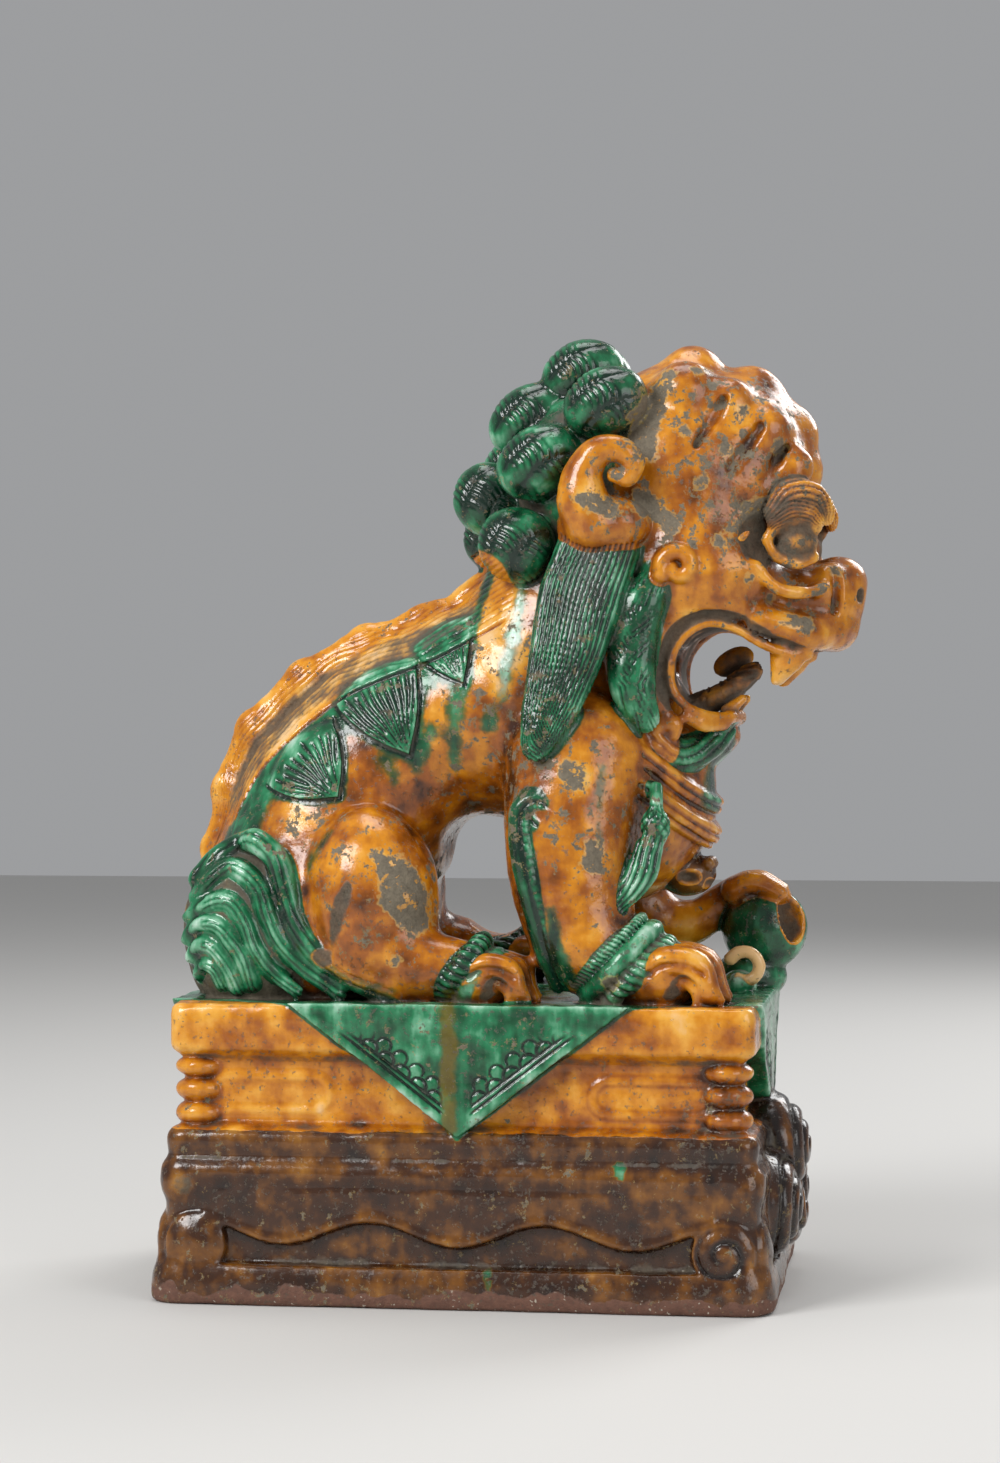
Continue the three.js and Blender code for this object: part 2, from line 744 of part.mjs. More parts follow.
// The tail is a broad flame against the rump. Its wavy ridges climb over a lobe on each side
// and sweep forward along the table. Each is a line of [x, z] points laid on the lobe.
const tailLobe = { at: [-98, 44, 160], radii: [33, 27, 43] };
const tailRidges = [
  [[-118, 186], [-109, 197], [-94, 202], [-86, 191], [-81, 172], [-72, 155], [-56, 142], [-36, 133]],
  [[-125, 172], [-113, 187], [-104, 190], [-94, 178], [-87, 162], [-77, 147], [-60, 134]],
  [[-127, 160], [-118, 174], [-108, 175], [-98, 164], [-91, 149], [-78, 136]],
  [[-126, 148], [-117, 161], [-108, 161], [-99, 147], [-96, 136]],
  [[-122, 138], [-114, 149], [-106, 144], [-103, 135]],
];

function tail(clay) {
  const { at, radii } = tailLobe;
  clay.add(egg([-104, 0, 158], [29, 58, 36]), 8);
  clay.addPair((side) => egg([at[0], side * at[1], at[2]], radii), 5);
  tailRidges.forEach((line, i) => {
    const laid = (side) =>
      line.map(([x, z], step) => {
        const across = ((x - at[0]) / radii[0]) ** 2 + ((z - at[2]) / radii[2]) ** 2;
        const onLobe = at[1] + radii[1] * Math.sqrt(Math.max(0, 1 - across));
        const y = step < 3 ? onLobe : Math.max(onLobe, 66 + step - 3);
        return [x, side * y, z, i === 0 ? 5.6 : 4.8];
      });
    clay.addPair((side) => rope(laid(side)), 2);
  });
}

// Everything of the lion that stands on the table, with a flat underside sunk a little into it.
function modelLion() {
  const clay = new Clay([-160, -104, tableTop - 6], [188, 104, 442], clayCell);
  torso(clay);
  tail(clay);
  spineCrest(clay);
  fans(clay);
  hindLeg(clay, -1, 0);
  hindLeg(clay, 1, 15);
  underBelly(clay);
  standingForeleg(clay, -1);
  raisedForeleg(clay, 1);
  ballUnderPaw(clay, 1);
  elbowFlame(clay, -1);
  skull(clay);
  muzzle(clay);
  mouth(clay);
  mane(clay);
  collar(clay);
  beard(clay);
  tassels(clay);
  combedLocks(clay);
  ear(clay);
  const floor = {
    box: new THREE.Box3(new THREE.Vector3(-200, -150, 0), new THREE.Vector3(200, 150, tableTop)),
    distance: (x, y, z) => z - (tableTop - 3),
  };
  clay.cut(floor, 0);
  return simplify(clay.surface(), lionTriangles);
}

// The plinth

// One ring of a rounded rectangle, counterclockwise from above.
function ring(length, depth, corner, z, cornerSteps = 3) {
  const points = [];
  const quarters = [[1, 1], [-1, 1], [-1, -1], [1, -1]];
  quarters.forEach(([sx, sy], q) => {
    for (let i = 0; i <= cornerSteps; i++) {
      const angle = ((q + i / cornerSteps) * Math.PI) / 2;
      points.push([
        sx * (length / 2 - corner) + corner * Math.cos(angle),
        sy * (depth / 2 - corner) + corner * Math.sin(angle),
        z,
      ]);
    }
  });
  return points;
}

// A closed solid through rings stacked from below, capped flat at both ends.
function loft(rings) {
  const count = rings[0].length;
  const positions = rings.flat();
  const triangles = [];
  for (let r = 0; r < rings.length - 1; r++)
    for (let i = 0; i < count; i++) {
      const a = r * count + i;
      const b = r * count + ((i + 1) % count);
      triangles.push([a, b, b + count], [a, b + count, a + count]);
    }
  const top = (rings.length - 1) * count;
  for (let i = 1; i < count - 1; i++) {
    triangles.push([0, i + 1, i]);
    triangles.push([top, top + i, top + i + 1]);
  }
  return { positions, triangles };
}

// Height, how far the level stands out past the table's edge, and corner radius, from the ground.
const plinthProfile = [
  [0, baseFlare - 1.5, 15],
  [3, baseFlare, 16],
  [17, baseFlare - 1.5, 16],
  [24, baseFlare - 5.5, 13],
  [46, baseFlare - 6, 12],
  [51, baseFlare - 4.2, 12],
  [57, baseFlare - 4, 12],
  [62, baseFlare - 7, 11],
  [64, baseFlare - 8.6, 9],
  [66, baseFlare - 7.4, 7],
  [74, baseFlare - 7, 6],
  [76, baseFlare - 9.5, 5],
  [78, -7.5, 4],
  [105, -7.5, 4],
  [108, -3, 4],
  [111, 0, 4],
  [127, 0.4, 4],
  [tableTop, -2.5, 4],
];

const asSolid = ({ positions, triangles }) =>
  new wasm.Manifold(
    new wasm.Mesh({
      numProp: 3,
      vertProperties: new Float32Array(positions.flat()),
      triVerts: new Uint32Array(triangles.flat()),
    }),
  );

// A three.js geometry as a solid, with its shared vertices merged.
function solidFrom(geometry) {
  const bare = geometry.clone();
  bare.deleteAttribute("normal");
  bare.deleteAttribute("uv");
  const merged = mergeVertices(bare, 1e-3);
  return new wasm.Manifold(
    new wasm.Mesh({
      numProp: 3,
      vertProperties: new Float32Array(merged.attributes.position.array),
      triVerts: new Uint32Array(merged.index.array),
    }),
  );
}

function bulge(radii, at, segments = 8) {
  const shape = new THREE.SphereGeometry(1, segments, Math.ceil(segments * 0.6));
  shape.rotateX(Math.PI / 2);
  shape.scale(...radii);
  shape.translate(...at);
  return solidFrom(shape);
}

// At each corner of the waist beads are stacked like a short turned post, and the base below
// swells into a knob.
function corners() {
  const solids = [];
  const beadRadius = 11;
  const beads = [
    { z: 82, halfHeight: 6.5 },
    { z: 92.5, halfHeight: 6 },
    { z: 102.5, halfHeight: 5.5 },
  ];
  const knob = { z: 52, radius: 7.8, outward: 8 };
  for (const sx of [-1, 1])
    for (const sy of [-1, 1]) {
      const x = sx * (tableLength / 2 - beadRadius - 1);
      const y = sy * (tableDepth / 2 - beadRadius - 1);
      for (const { z, halfHeight } of beads)
        solids.push(bulge([beadRadius, beadRadius, halfHeight], [x, y, z]));
      const knobAt = [x + sx * knob.outward, y + sy * knob.outward, knob.z];
      solids.push(bulge([knob.radius, knob.radius, knob.radius], knobAt));
    }
  return solids;
}

// The four sides: two long ones and two short ones. cloth is how wide its point is at the top.
const longSide = { out: tableDepth / 2, length: tableLength, cloth: 148, waves: 3 };
const shortSide = { out: tableLength / 2, length: tableDepth, cloth: 138, waves: 2 };
const eachSide = [
  { turn: 0, ...longSide },
  { turn: Math.PI, ...longSide },
  { turn: Math.PI / 2, ...shortSide },
  { turn: -Math.PI / 2, ...shortSide },
];

// Stands an outline drawn in the XZ plane on one side of the plinth, between two distances
// from its middle.
function onSide(shape, { turn, from, to, curveSegments = 3 }) {
  const slab = new THREE.ExtrudeGeometry(shape, {
    depth: to - from, bevelEnabled: false, curveSegments,
  });
  slab.rotateX(Math.PI / 2);
  slab.translate(0, -from, 0);
  slab.rotateZ(turn);
  return solidFrom(slab);
}

// A cloth lies cornerwise over the table, and one point of it hangs down each side.
function clothPoints() {
  const thickness = 3;
  const rooted = 9; // how far it runs back, to reach the recessed waist
  const blunt = 5; // half width of its rounded tip
  const top = tableTop - 1;
  return eachSide.map(({ turn, out, cloth }) => {
    const shape = new THREE.Shape();
    shape.moveTo(-cloth / 2, top);
    shape.lineTo(-blunt, clothTip + blunt);
    shape.quadraticCurveTo(0, clothTip - blunt / 2, blunt, clothTip + blunt);
    shape.lineTo(cloth / 2, top);
    shape.closePath();
    return onSide(shape, { turn, from: out - rooted, to: out + thickness });
  });
}

// The apron of the base: a waved edge that stands over a hollow, between scrolled feet.
function aprons() {
  const edge = { top: 52, middle: 33, wave: 3.2, standsOut: 5.4 };
  const foot = { z: 25, halfWidth: 13, halfHeight: 11, standsOut: 8 };
  const rooted = 4;
  const solids = [];
  for (const { turn, out, length, waves } of eachSide) {
    const half = length / 2 - foot.halfWidth;
    const shape = new THREE.Shape();
    shape.moveTo(-half, edge.top);
    const steps = waves * 6;
    for (let i = 0; i <= steps; i++) {
      const t = i / steps;
      const dip = edge.wave * Math.cos(t * waves * 2 * Math.PI);
      shape.lineTo(-half + 2 * half * t, edge.middle - dip);
    }
    shape.lineTo(half, edge.top);
    shape.closePath();
    solids.push(onSide(shape, { turn, from: out - rooted, to: out + edge.standsOut }));
    for (const end of [-1, 1]) {
      const scroll = new THREE.Shape();
      scroll.absellipse(end * half, foot.z, foot.halfWidth, foot.halfHeight, 0, 2 * Math.PI);
      const placed = { turn, from: out - rooted, to: out + foot.standsOut, curveSegments: 5 };
      solids.push(onSide(scroll, placed));
    }
  }
  return solids;
}

// A cloud scroll in high relief fills the front of the base, under the lion's face.
function frontScroll() {
  const lobes = [
    { y: 0, z: 62, r: 25, out: 19 },
    { y: -29, z: 40, r: 24, out: 17 },
    { y: 29, z: 40, r: 24, out: 17 },
    { y: 0, z: 33, r: 19, out: 18 },
  ];
  const face = tableLength / 2 + 1.5;
  return lobes.map(({ y, z, r, out }) => bulge([out, r * 1.1, r], [face, y, z], 10));
}

function modelPlinth() {
  const rings = plinthProfile.map(([z, out, corner]) =>
    ring(tableLength + 2 * out, tableDepth + 2 * out, corner, z),
  );
  let solid = asSolid(loft(rings));
  const relief = [...corners(), ...clothPoints(), ...aprons(), ...frontScroll()];
  for (const more of relief) solid = solid.add(more);
  return solid;
}

const glaze = new THREE.MeshStandardMaterial({
  color: 0xc07818, // amber lead glaze, the colour that covers most of it
  roughness: 0.3,
  metalness: 0,
});

const lionOnPlinth = modelPlinth().add(asSolid(modelLion()));
const result = lionOnPlinth.getMesh();
const geometry = new THREE.BufferGeometry();
geometry.setAttribute("position", new THREE.BufferAttribute(result.vertProperties, 3));
geometry.setIndex(new THREE.BufferAttribute(result.triVerts, 1));
geometry.computeVertexNormals();

const lion = new THREE.Mesh(geometry, glaze);
lion.name = "lion_on_plinth";

const figure = new THREE.Group();
figure.name = "sancai_lion";
figure.add(lion);

export default figure;
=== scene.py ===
# A seated guardian lion of amber and green glazed earthenware, fired with its stepped plinth.
# The clay is worked out as distances in millimetres on a grid, walked into one mesh and glazed.
import math

import bpy
import numpy as np
from mathutils import Euler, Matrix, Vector


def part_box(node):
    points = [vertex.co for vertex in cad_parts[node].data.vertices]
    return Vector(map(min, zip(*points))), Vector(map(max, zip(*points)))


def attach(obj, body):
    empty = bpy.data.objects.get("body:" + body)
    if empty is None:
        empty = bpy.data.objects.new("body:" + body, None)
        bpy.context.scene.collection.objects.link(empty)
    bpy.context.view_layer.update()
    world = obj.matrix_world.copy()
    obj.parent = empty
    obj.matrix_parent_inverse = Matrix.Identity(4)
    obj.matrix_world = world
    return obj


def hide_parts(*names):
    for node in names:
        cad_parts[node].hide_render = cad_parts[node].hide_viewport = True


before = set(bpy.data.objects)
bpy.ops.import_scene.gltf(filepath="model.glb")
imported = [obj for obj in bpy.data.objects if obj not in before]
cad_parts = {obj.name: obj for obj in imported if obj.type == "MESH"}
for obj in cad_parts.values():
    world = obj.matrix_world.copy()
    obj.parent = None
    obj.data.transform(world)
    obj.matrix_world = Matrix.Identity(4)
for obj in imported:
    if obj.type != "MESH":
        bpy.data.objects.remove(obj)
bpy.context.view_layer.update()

nodeName = "lion_on_plinth"
nodeLow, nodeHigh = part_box(nodeName)

plinth = {
    "tableTop": 131.0,      # height of the surface that the lion sits on
    "tableLength": 257.0,
    "tableDepth": 172.0,
    "baseFlare": 9.0,       # how far the foot of the base stands out past the table
    "clothTip": 74.0,       # lowest point of the cloth that hangs over each side
}
modelHeight = 426.5
metre = (nodeHigh[2] - nodeLow[2]) / modelHeight    # metres to one millimetre of the model
tableTop = plinth["tableTop"]

modelling = {
    "cell": 1.3,     # spacing of the grid
    "low": (-150, -108, -4),
    "high": (186, 108, 436),
    "far": 40.0,            # distance where nothing has been modelled yet
    "triangles": 940000,    # in the whole surface
    "pieces": 6,            # that it is split into, one above another
}

# what each glaze is made of, on a scale of 0 to 1; plain amber is nothing at all
glazes = {
    "amber": {},
    "buff": {"pale": 0.4},
    "green": {"green": 1, "pale": 0.3},
    "bottle": {"green": 1, "pale": 0.0},
    "teal": {"green": 1, "pale": 0.5},
    "curl": {"green": 1, "pale": 0.25},
    "curlGap": {"green": 1.0, "pale": 0.1, "dirt": 0.45},
    "lock": {"green": 1, "pale": 0.30, "dirt": 0.15},
    "tailGap": {"green": 0.6, "dirt": 0.75},
    "greyGreen": {"green": 0.85, "pale": 0.6, "dirt": 0.4},
    "cloth": {"green": 1, "pale": 0.36},
    "treacle": {"treacle": 1},
    # the next two paint dark grime colour into cuts: painted shade with dirt in creases, painted shade in
    # holes and hollows
    "crease": {"dirt": 0.9},
    "hollowShade": {"dirt": 0.75},
    "brow": {"pale": 0.1, "dirt": 0.7},
    "eye": {"dirt": 0.85, "treacle": 0.3},
    "tooth": {"pale": 0.15, "dirt": 0.35},
    "cream": {"pale": 0.8, "dirt": 0.72},
    "mouthBrown": {"treacle": 0.3, "dirt": 0.8},
}
# the grime channel also serves as painted shade in cuts, creases and hollows
channels = ["green", "pale", "olive", "treacle", "clay", "bare", "worn", "dirt"]


# Helpers for curves and blends

def smooth(v):
    t = np.clip(v, 0, 1)
    return t * t * (3 - 2 * t)


def softMin(a, b, blend):
    if blend <= 0:
        return np.minimum(a, b)
    h = np.maximum(blend - np.abs(a - b), 0) / blend
    return np.minimum(a, b) - h * h * (blend / 4)


def groove(u):
    # 1 in a narrow line at every whole number, 0 on the round ridge between
    return 1 - np.sqrt(np.abs(np.sin(np.pi * u)))


def line(v, middle, width):
    # 1 on a soft line where v is middle, 0 beyond its width
    return smooth(1 - np.abs(v - middle) / width)


def turnedBy(degrees):
    return np.array(Euler([math.radians(a) for a in degrees], "XYZ").to_matrix())


def smoothCurve(points, steps, closed=False):
    # centripetal curve through the points, with the radius that each carries
    p = np.array(points, float)
    spans = len(p) if closed else len(p) - 1
    found = []
    for i in range(spans):
        a, b = p[i], p[(i + 1) % len(p)]
        before = p[i - 1] if (i > 0 or closed) else 2 * a - b
        after = p[(i + 2) % len(p)] if (i + 2 < len(p) or closed) else 2 * b - a
        knots = [np.sum((v[:3] - u[:3]) ** 2) ** 0.25 for u, v in ((before, a), (a, b), (b, after))]
        k0, k1, k2 = [max(k, 1e-4) for k in knots]
        startPull = (a - before) / k0 - (b - before) / (k0 + k1) + (b - a) / k1
        endPull = (b - a) / k1 - (after - a) / (k1 + k2) + (after - b) / k2
        startPull, endPull = startPull * k1, endPull * k1
        for t in np.arange(steps) / steps:
            at = (a + startPull * t + (3 * (b - a) - 2 * startPull - endPull) * t ** 2
                  + (2 * (a - b) + startPull + endPull) * t ** 3)
            at[3] = a[3] + (b[3] - a[3]) * t
            found.append(at)
    found.append(p[0] if closed else p[-1])
    return np.array(found)


class Form:
    # a shape: its box, and measure(x, y, z) for the distance, negative inside, and the place on it.
    # marks(*place) is how far the marks of a tool raise its surface there.
    def __init__(self, low, high, measure, marks=None):
        self.low, self.high = np.array(low, float), np.array(high, float)
        self.measure, self.marks = measure, marks
        self.through = False    # True for one that lies on whatever surface is there


def egg(at, radii, turn=(0, 0, 0), marks=None):
    back = turnedBy(turn).T
    reach = max(radii)

    def measure(x, y, z, tracked=False):
        dx, dy, dz = x - at[0], y - at[1], z - at[2]
        p, q, r = [(row[0] * dx + row[1] * dy + row[2] * dz) / size for row, size in zip(back, radii)]
        k0 = np.sqrt(p * p + q * q + r * r)
        k1 = np.sqrt((p / radii[0]) ** 2 + (q / radii[1]) ** 2 + (r / radii[2]) ** 2)
        return k0 * (k0 - 1) / np.maximum(k1, 1e-6), (p, q, r)

    return Form(np.array(at) - reach, np.array(at) + reach, measure, marks)


def ball(at, radius):
    return egg(at, (radius, radius, radius))


def rope(points, flat=None, share=1.0, steps=5, closed=False, marks=None, facing=(0, 1, 0)):
    # a rope of clay; flat squeezes it along one axis, or draws it out where share is above 1.
    # The place on it is how far along in millimetres, and how far across from -1 to 1.
    knots = smoothCurve(points, steps, closed).astype(np.float32)
    axis = np.zeros(3) if flat is None else np.array(flat, float) / np.linalg.norm(flat)
    facing = np.array(facing, float)
    thickest = knots[:, 3].max()
    grow = np.abs(axis) * max(0, share - 1) * thickest
    spread = 8 if thickest < 12 else 18

    def measure(x, y, z, tracked=False):
        onGrid = x.ndim == 3
        shape = np.broadcast_shapes(x.shape, y.shape, z.shape)
        best = np.full(shape, modelling["far"], np.float32)
        along, across = None, None
        if tracked:
            along, across = np.zeros(shape, np.float32), np.zeros(shape, np.float32)
        walked = 0.0
        for a, b in zip(knots[:-1], knots[1:]):
            step = b[:3] - a[:3]
            size = float(step @ step)
            if size < 1e-9:
                continue
            length = math.sqrt(size)
            low = np.minimum(a[:3], b[:3]) - max(a[3], b[3]) - spread - grow
            high = np.maximum(a[:3], b[:3]) + max(a[3], b[3]) + spread + grow
            if onGrid:
                part = tuple(slice(*np.searchsorted(v.ravel(), (lo, hi)))
                             for v, lo, hi in zip((x, y, z), low, high))
                px, py, pz = x[part[0]] - a[0], y[:, part[1]] - a[1], z[:, :, part[2]] - a[2]
            else:
                part = np.flatnonzero((x > low[0]) & (x < high[0]) & (y > low[1]) & (y < high[1])
                                      & (z > low[2]) & (z < high[2]))
                px, py, pz = x[part] - a[0], y[part] - a[1], z[part] - a[2]
            now = best[part]
            if not now.size:
                walked += length
                continue
            t = np.clip((px * step[0] + py * step[1] + pz * step[2]) / size, 0, 1)
            qx, qy, qz = px - step[0] * t, py - step[1] * t, pz - step[2] * t
            r = a[3] + (b[3] - a[3]) * t
            if tracked:
                side = np.cross(step, facing)
                side /= max(np.linalg.norm(side), 1e-6)
                sideways = (qx * side[0] + qy * side[1] + qz * side[2]) / r
            if flat is not None:
                pull = (qx * axis[0] + qy * axis[1] + qz * axis[2]) * (1 / share - 1)
                qx, qy, qz = qx + pull * axis[0], qy + pull * axis[1], qz + pull * axis[2]
            d = (np.sqrt(qx * qx + qy * qy + qz * qz) - r) * (share if flat is not None else 1)
            nearer = d < now
            best[part] = np.where(nearer, d, now)
            if tracked:
                along[part] = np.where(nearer, walked + t * length, along[part])
                across[part] = np.where(nearer, sideways, across[part])
            walked += length
        return best, (along, across)

    low = (knots[:, :3] - knots[:, 3:]).min(axis=0) - grow
    high = (knots[:, :3] + knots[:, 3:]).max(axis=0) + grow
    return Form(low, high, measure, marks)


def smear(points, side=0, marks=None):
    # a run or patch seen from one side of the lion, through whatever stands there: x, z, radius
    knots = smoothCurve([(x, 0, z, r) for x, z, r in points], 5) if len(points) > 1 else None

    def measure(x, y, z, tracked=False):
        best = np.full(x.shape, modelling["far"], np.float32)
        along, across = np.zeros(x.shape, np.float32), np.zeros(x.shape, np.float32)
        if knots is None:
            px, pz, r = points[0]
            best = np.hypot(x - px, z - pz) - r
        else:
            walked = 0.0
            for a, b in zip(knots[:-1], knots[1:]):
                dx, dz = b[0] - a[0], b[2] - a[2]
                length = max(math.hypot(dx, dz), 1e-3)
                t = np.clip(((x - a[0]) * dx + (z - a[2]) * dz) / length ** 2, 0, 1)
                qx, qz = x - a[0] - dx * t, z - a[2] - dz * t
                r = a[3] + (b[3] - a[3]) * t
                d = np.hypot(qx, qz) - r
                nearer = d < best
                best = np.where(nearer, d, best)
                along = np.where(nearer, walked + t * length, along)
                across = np.where(nearer, (qx * dz - qz * dx) / length / r, across)
                walked += length
        if side:
            best = np.where(y * side > 5, best, modelling["far"])
        return best, (along, across)

    xs, zs, rs = zip(*points)
    low = (min(xs) - max(rs), -110, min(zs) - max(rs))
    high = (max(xs) + max(rs), 110, max(zs) + max(rs))
    form = Form(low, high, measure, marks)
    form.through = True
    return form


def spiral(at, start, turns, outer, inner, thick, thin, count=10):
    # points of a spiral in the XZ plane, from its outer end to its eye
    points = []
    for i in range(count):
        t = i / (count - 1)
        angle = math.radians(start + 360 * turns * t)
        reach = outer + (inner - outer) * t
        points.append((at[0] + reach * math.cos(angle), at[1],
                       at[2] + reach * math.sin(angle), thick + (thin - thick) * t))
    return points


class Clay:
    # forms joined or cut one after another on a grid of distances, and a note of each for the
    # tools and the glazes that come after
    def __init__(self):
        cell = modelling["cell"]
        self.cell = cell
        self.axes = [np.arange(lo, hi, cell, dtype=np.float32)
                     for lo, hi in zip(modelling["low"], modelling["high"])]
        self.field = np.full([len(a) for a in self.axes], modelling["far"], np.float32)
        self.made = []

    def part(self, low, high):
        window = tuple(slice(*np.searchsorted(axis, (lo, hi)))
                       for axis, lo, hi in zip(self.axes, low, high))
        places = [axis[w].reshape([-1 if i == k else 1 for k in range(3)])
                  for i, (axis, w) in enumerate(zip(self.axes, window))]
        return window, places

    def add(self, form, blend=5.0, glaze="amber"):
        margin = blend + 2 * self.cell
        window, places = self.part(form.low - margin, form.high + margin)
        self.field[window] = softMin(self.field[window], form.measure(*places)[0], blend)
        self.made.append((form, glaze, blend))

    def cut(self, form, blend=3.0, glaze=None):
        margin = blend + 2 * self.cell
        window, places = self.part(form.low - margin, form.high + margin)
        self.field[window] = -softMin(-self.field[window], form.measure(*places)[0], blend)
        if glaze:
            self.made.append((form, glaze, blend))

    def tool(self, form):
        # marks only, on the surface that is there
        self.made.append((form, None, 0))

    def lift(self, low, high, height):
        # raises the surface inside a box by height(x, y, z)
        window, places = self.part(low, high)
        self.field[window] -= height(*places)

    def addPair(self, make, blend=5.0, glaze="amber"):
        for side in (-1, 1):
            self.add(make(side), blend, glaze)

    def cutPair(self, make, blend=3.0, glaze=None):
        for side in (-1, 1):
            self.cut(make(side), blend, glaze)


# The lion's body

def torso(clay):
    clay.add(rope([(-80, 0, 178, 50), (-62, 0, 214, 52), (-22, 0, 252, 47),
                   (22, 0, 268, 52), (42, 0, 302, 46)]), 12, "amber")
    clay.addPair(lambda s: egg((-72, s * 30, 168), (46, 38, 50)), 14, "amber")
    clay.add(egg((61, 0, 224), (45, 49, 52)), 14, "amber")


def underBelly(clay):
    for y in range(-36, 85, 20):
        clay.cut(rope([(-2, y, 168, 15), (-2, y, 197, 15)], flat=(0, 1, 0), share=1.6), 5)


crest = {
    "line": [(-126, 172), (-123, 190), (-118, 216), (-111, 240), (-95, 261), (-72, 279),
             (-48, 290), (-24, 299), (0, 312)],
    "scallops": 7,
    "radius": 10.6,
    "swell": 2.2,
    "band": 19.0,       # how far down the flank its smoothed band runs
    "combLines": 15,
    "combDepth": 0.55,
}


def spineCrest(clay):
    spine = smoothCurve([(x, 0, z, 0) for x, z in crest["line"]], 12)
    step = (len(spine) - 1) / (4 * crest["scallops"])
    points = []
    for i in range(4 * crest["scallops"] + 1):
        x, _, z, _ = spine[int(round(i * step))]
        uneven = 0.75 + 0.35 * math.sin(i * 1.7)
        points.append((x, 0, z, crest["radius"] + uneven * crest["swell"] * math.cos(i * math.pi / 2)))
    clay.add(rope(points, flat=(0, 1, 0), share=0.6, steps=1), 4, "buff")


def crestBand(side):
    # the band below the crest on one flank, combed along its length, with a line cut under it
    def marks(along, across):
        wander = 0.5 * np.sin(along / 11) + 0.25 * np.sin(along / 4.3 + 1)
        combed = groove(across * crest["combLines"] / 2 + wander) * smooth((0.9 - np.abs(across)) * 5)
        return -crest["combDepth"] * combed - 1.5 * line(np.abs(across), 0.95, 0.07)

    upper = crest["line"][2:]
    return smear([(x, z, min(crest["band"], 9 + 6 * i)) for i, (x, z) in enumerate(upper)], side, marks=marks)


def haunch(clay, side, back):
    clay.add(egg((-43 - back, side * 52, 177), (30.5, 29, 40), (0, -8, 0)), 4, "amber")
    clay.add(rope([(-42 - back, side * 58, 156, 20), (-22 - back * 0.6, side * 60, 147, 17),
                   (-2, side * 62, 145, 13)]), 7, "amber")
    # the crease is painted dark, as shade with dirt
    clay.cut(rope([(-50 - back, side * 83, 182, 2), (-54 - back, side * 82.5, 174, 3.6),
                   (-58 - back, side * 81, 164, 4.2), (-63 - back, side * 77, 150, 4.6)]), 3.5, "crease")


paws = {
    "toes": (-1.5, -0.5, 0.5, 1.5),
    "toeGap": 9.6,
    "hollow": 4.6,      # the dark hollow under the arch of the outer toe
}


def paw(clay, at, size, outward):
    x, y, z = at
    clay.add(egg((x - 9 * size, y, z + 10 * size), (17 * size, 18 * size, 13 * size)), 5, "amber")
    for toe in paws["toes"]:
        ty = y + toe * paws["toeGap"] * size
        reach = 4 - abs(toe) * 2
        clay.add(rope([(x - 12 * size, ty, z + 13 * size, 5 * size),
                       (x - 6 * size, ty, z + 18 * size, 6 * size),
                       (x + (5 + reach) * size, ty, z + 16 * size, 6.4 * size),
                       (x + (10 + reach) * size, ty, z + 5.5 * size, 5 * size)]), 2, "amber")
        clay.add(rope([(x + (11 + reach) * size, ty, z + 6 * size, 3.4 * size),
                       (x + (15 + reach) * size, ty, z + 2.5 * size, 2 * size)]), 1.5, "amber")
    # the outer toe seen from its side: an arch over a hollow, and a fold above it
    ty = y + outward * 1.5 * paws["toeGap"] * size
    hollow = paws["hollow"] * size
    # the hollow is painted dark as its shade
    clay.cut(rope([(x - 3 * size, ty + outward * 5 * size, z + 2 * size, hollow),
                   (x + 1.5 * size, ty + outward * 5 * size, z + 7.5 * size, hollow),
                   (x + 4 * size, ty + outward * 5 * size, z + 3 * size, hollow * 0.8)]), 1.5, "hollowShade")
    clay.add(rope([(x + 3 * size, ty - outward * 1.0, z + 9 * size, 3.2 * size),
                   (x + 6.5 * size, ty + outward * 1.5, z + 6 * size, 2.8 * size),
                   (x + 7 * size, ty + outward * 1.5, z + 1 * size, 2.2 * size)]), 1, "amber")
    clay.cut(rope([(x - 13 * size, ty + outward * 4 * size, z + 12.5 * size, 1.5),
                   (x - 7 * size, ty + outward * 5 * size, z + 16 * size, 1.7),
                   (x + 2 * size, ty + outward * 6 * size, z + 16.5 * size, 1.6),
                   (x + 9 * size, ty + outward * 5 * size, z + 13 * size, 1.4)]), 1.5)


def cuff(clay, at, reach, slant, bands):
    # bands of fur round an ankle; each is how far along, how thick, how many ridges and its glaze
    x, y, z = at
    tilt = math.radians(slant)
    for shift, thick, ridges, flatness, glaze in bands:
        points = []
        for i in range(12):
            angle = i / 12 * 2 * math.pi
            side = reach * math.cos(angle)
            points.append((x + shift * math.cos(tilt) + side * math.sin(tilt),
                           y + reach * 0.92 * math.sin(angle),
                           z + side * math.cos(tilt) - shift * math.sin(tilt), thick))
        around = 2 * math.pi * reach
        combed = None
        if ridges:
            def combed(along, across, ridges=ridges, around=around):
                return -1.1 * groove(along * ridges / around + 0.3 * across)
        clay.add(rope(points, closed=True, steps=4, marks=combed,
                      flat=(math.sin(tilt), 0, math.cos(tilt)) if flatness < 1 else None,
                      share=flatness), 1.2, glaze)


def hindLeg(clay, side, back):
    haunch(clay, side, back)
    paw(clay, (15, side * 62, tableTop), 0.92, side)
    cuff(clay, (4, side * 62, tableTop + 12), 13.8, 38,
         [(-6, 4.8, 26, 1, "green"), (2.5, 3.2, 0, 1, "greyGreen")])


def standingForeleg(clay, side):
    clay.add(rope([(47, side * 36, 236, 34), (45, side * 44, 206, 30), (46, side * 48, 180, 27),
                   (54, side * 52, 156, 23), (74, side * 55, 144, 15)]), 7, "amber")
    paw(clay, (96, side * 58, tableTop), 1.08, side)
    cuff(clay, (71, side * 55, tableTop + 15), 20.5, 44,
         [(-11, 2.4, 60, 1, "greyGreen"), (-3.5, 4.6, 0, 1, "teal"), (5, 4.2, 34, 1, "greyGreen")])


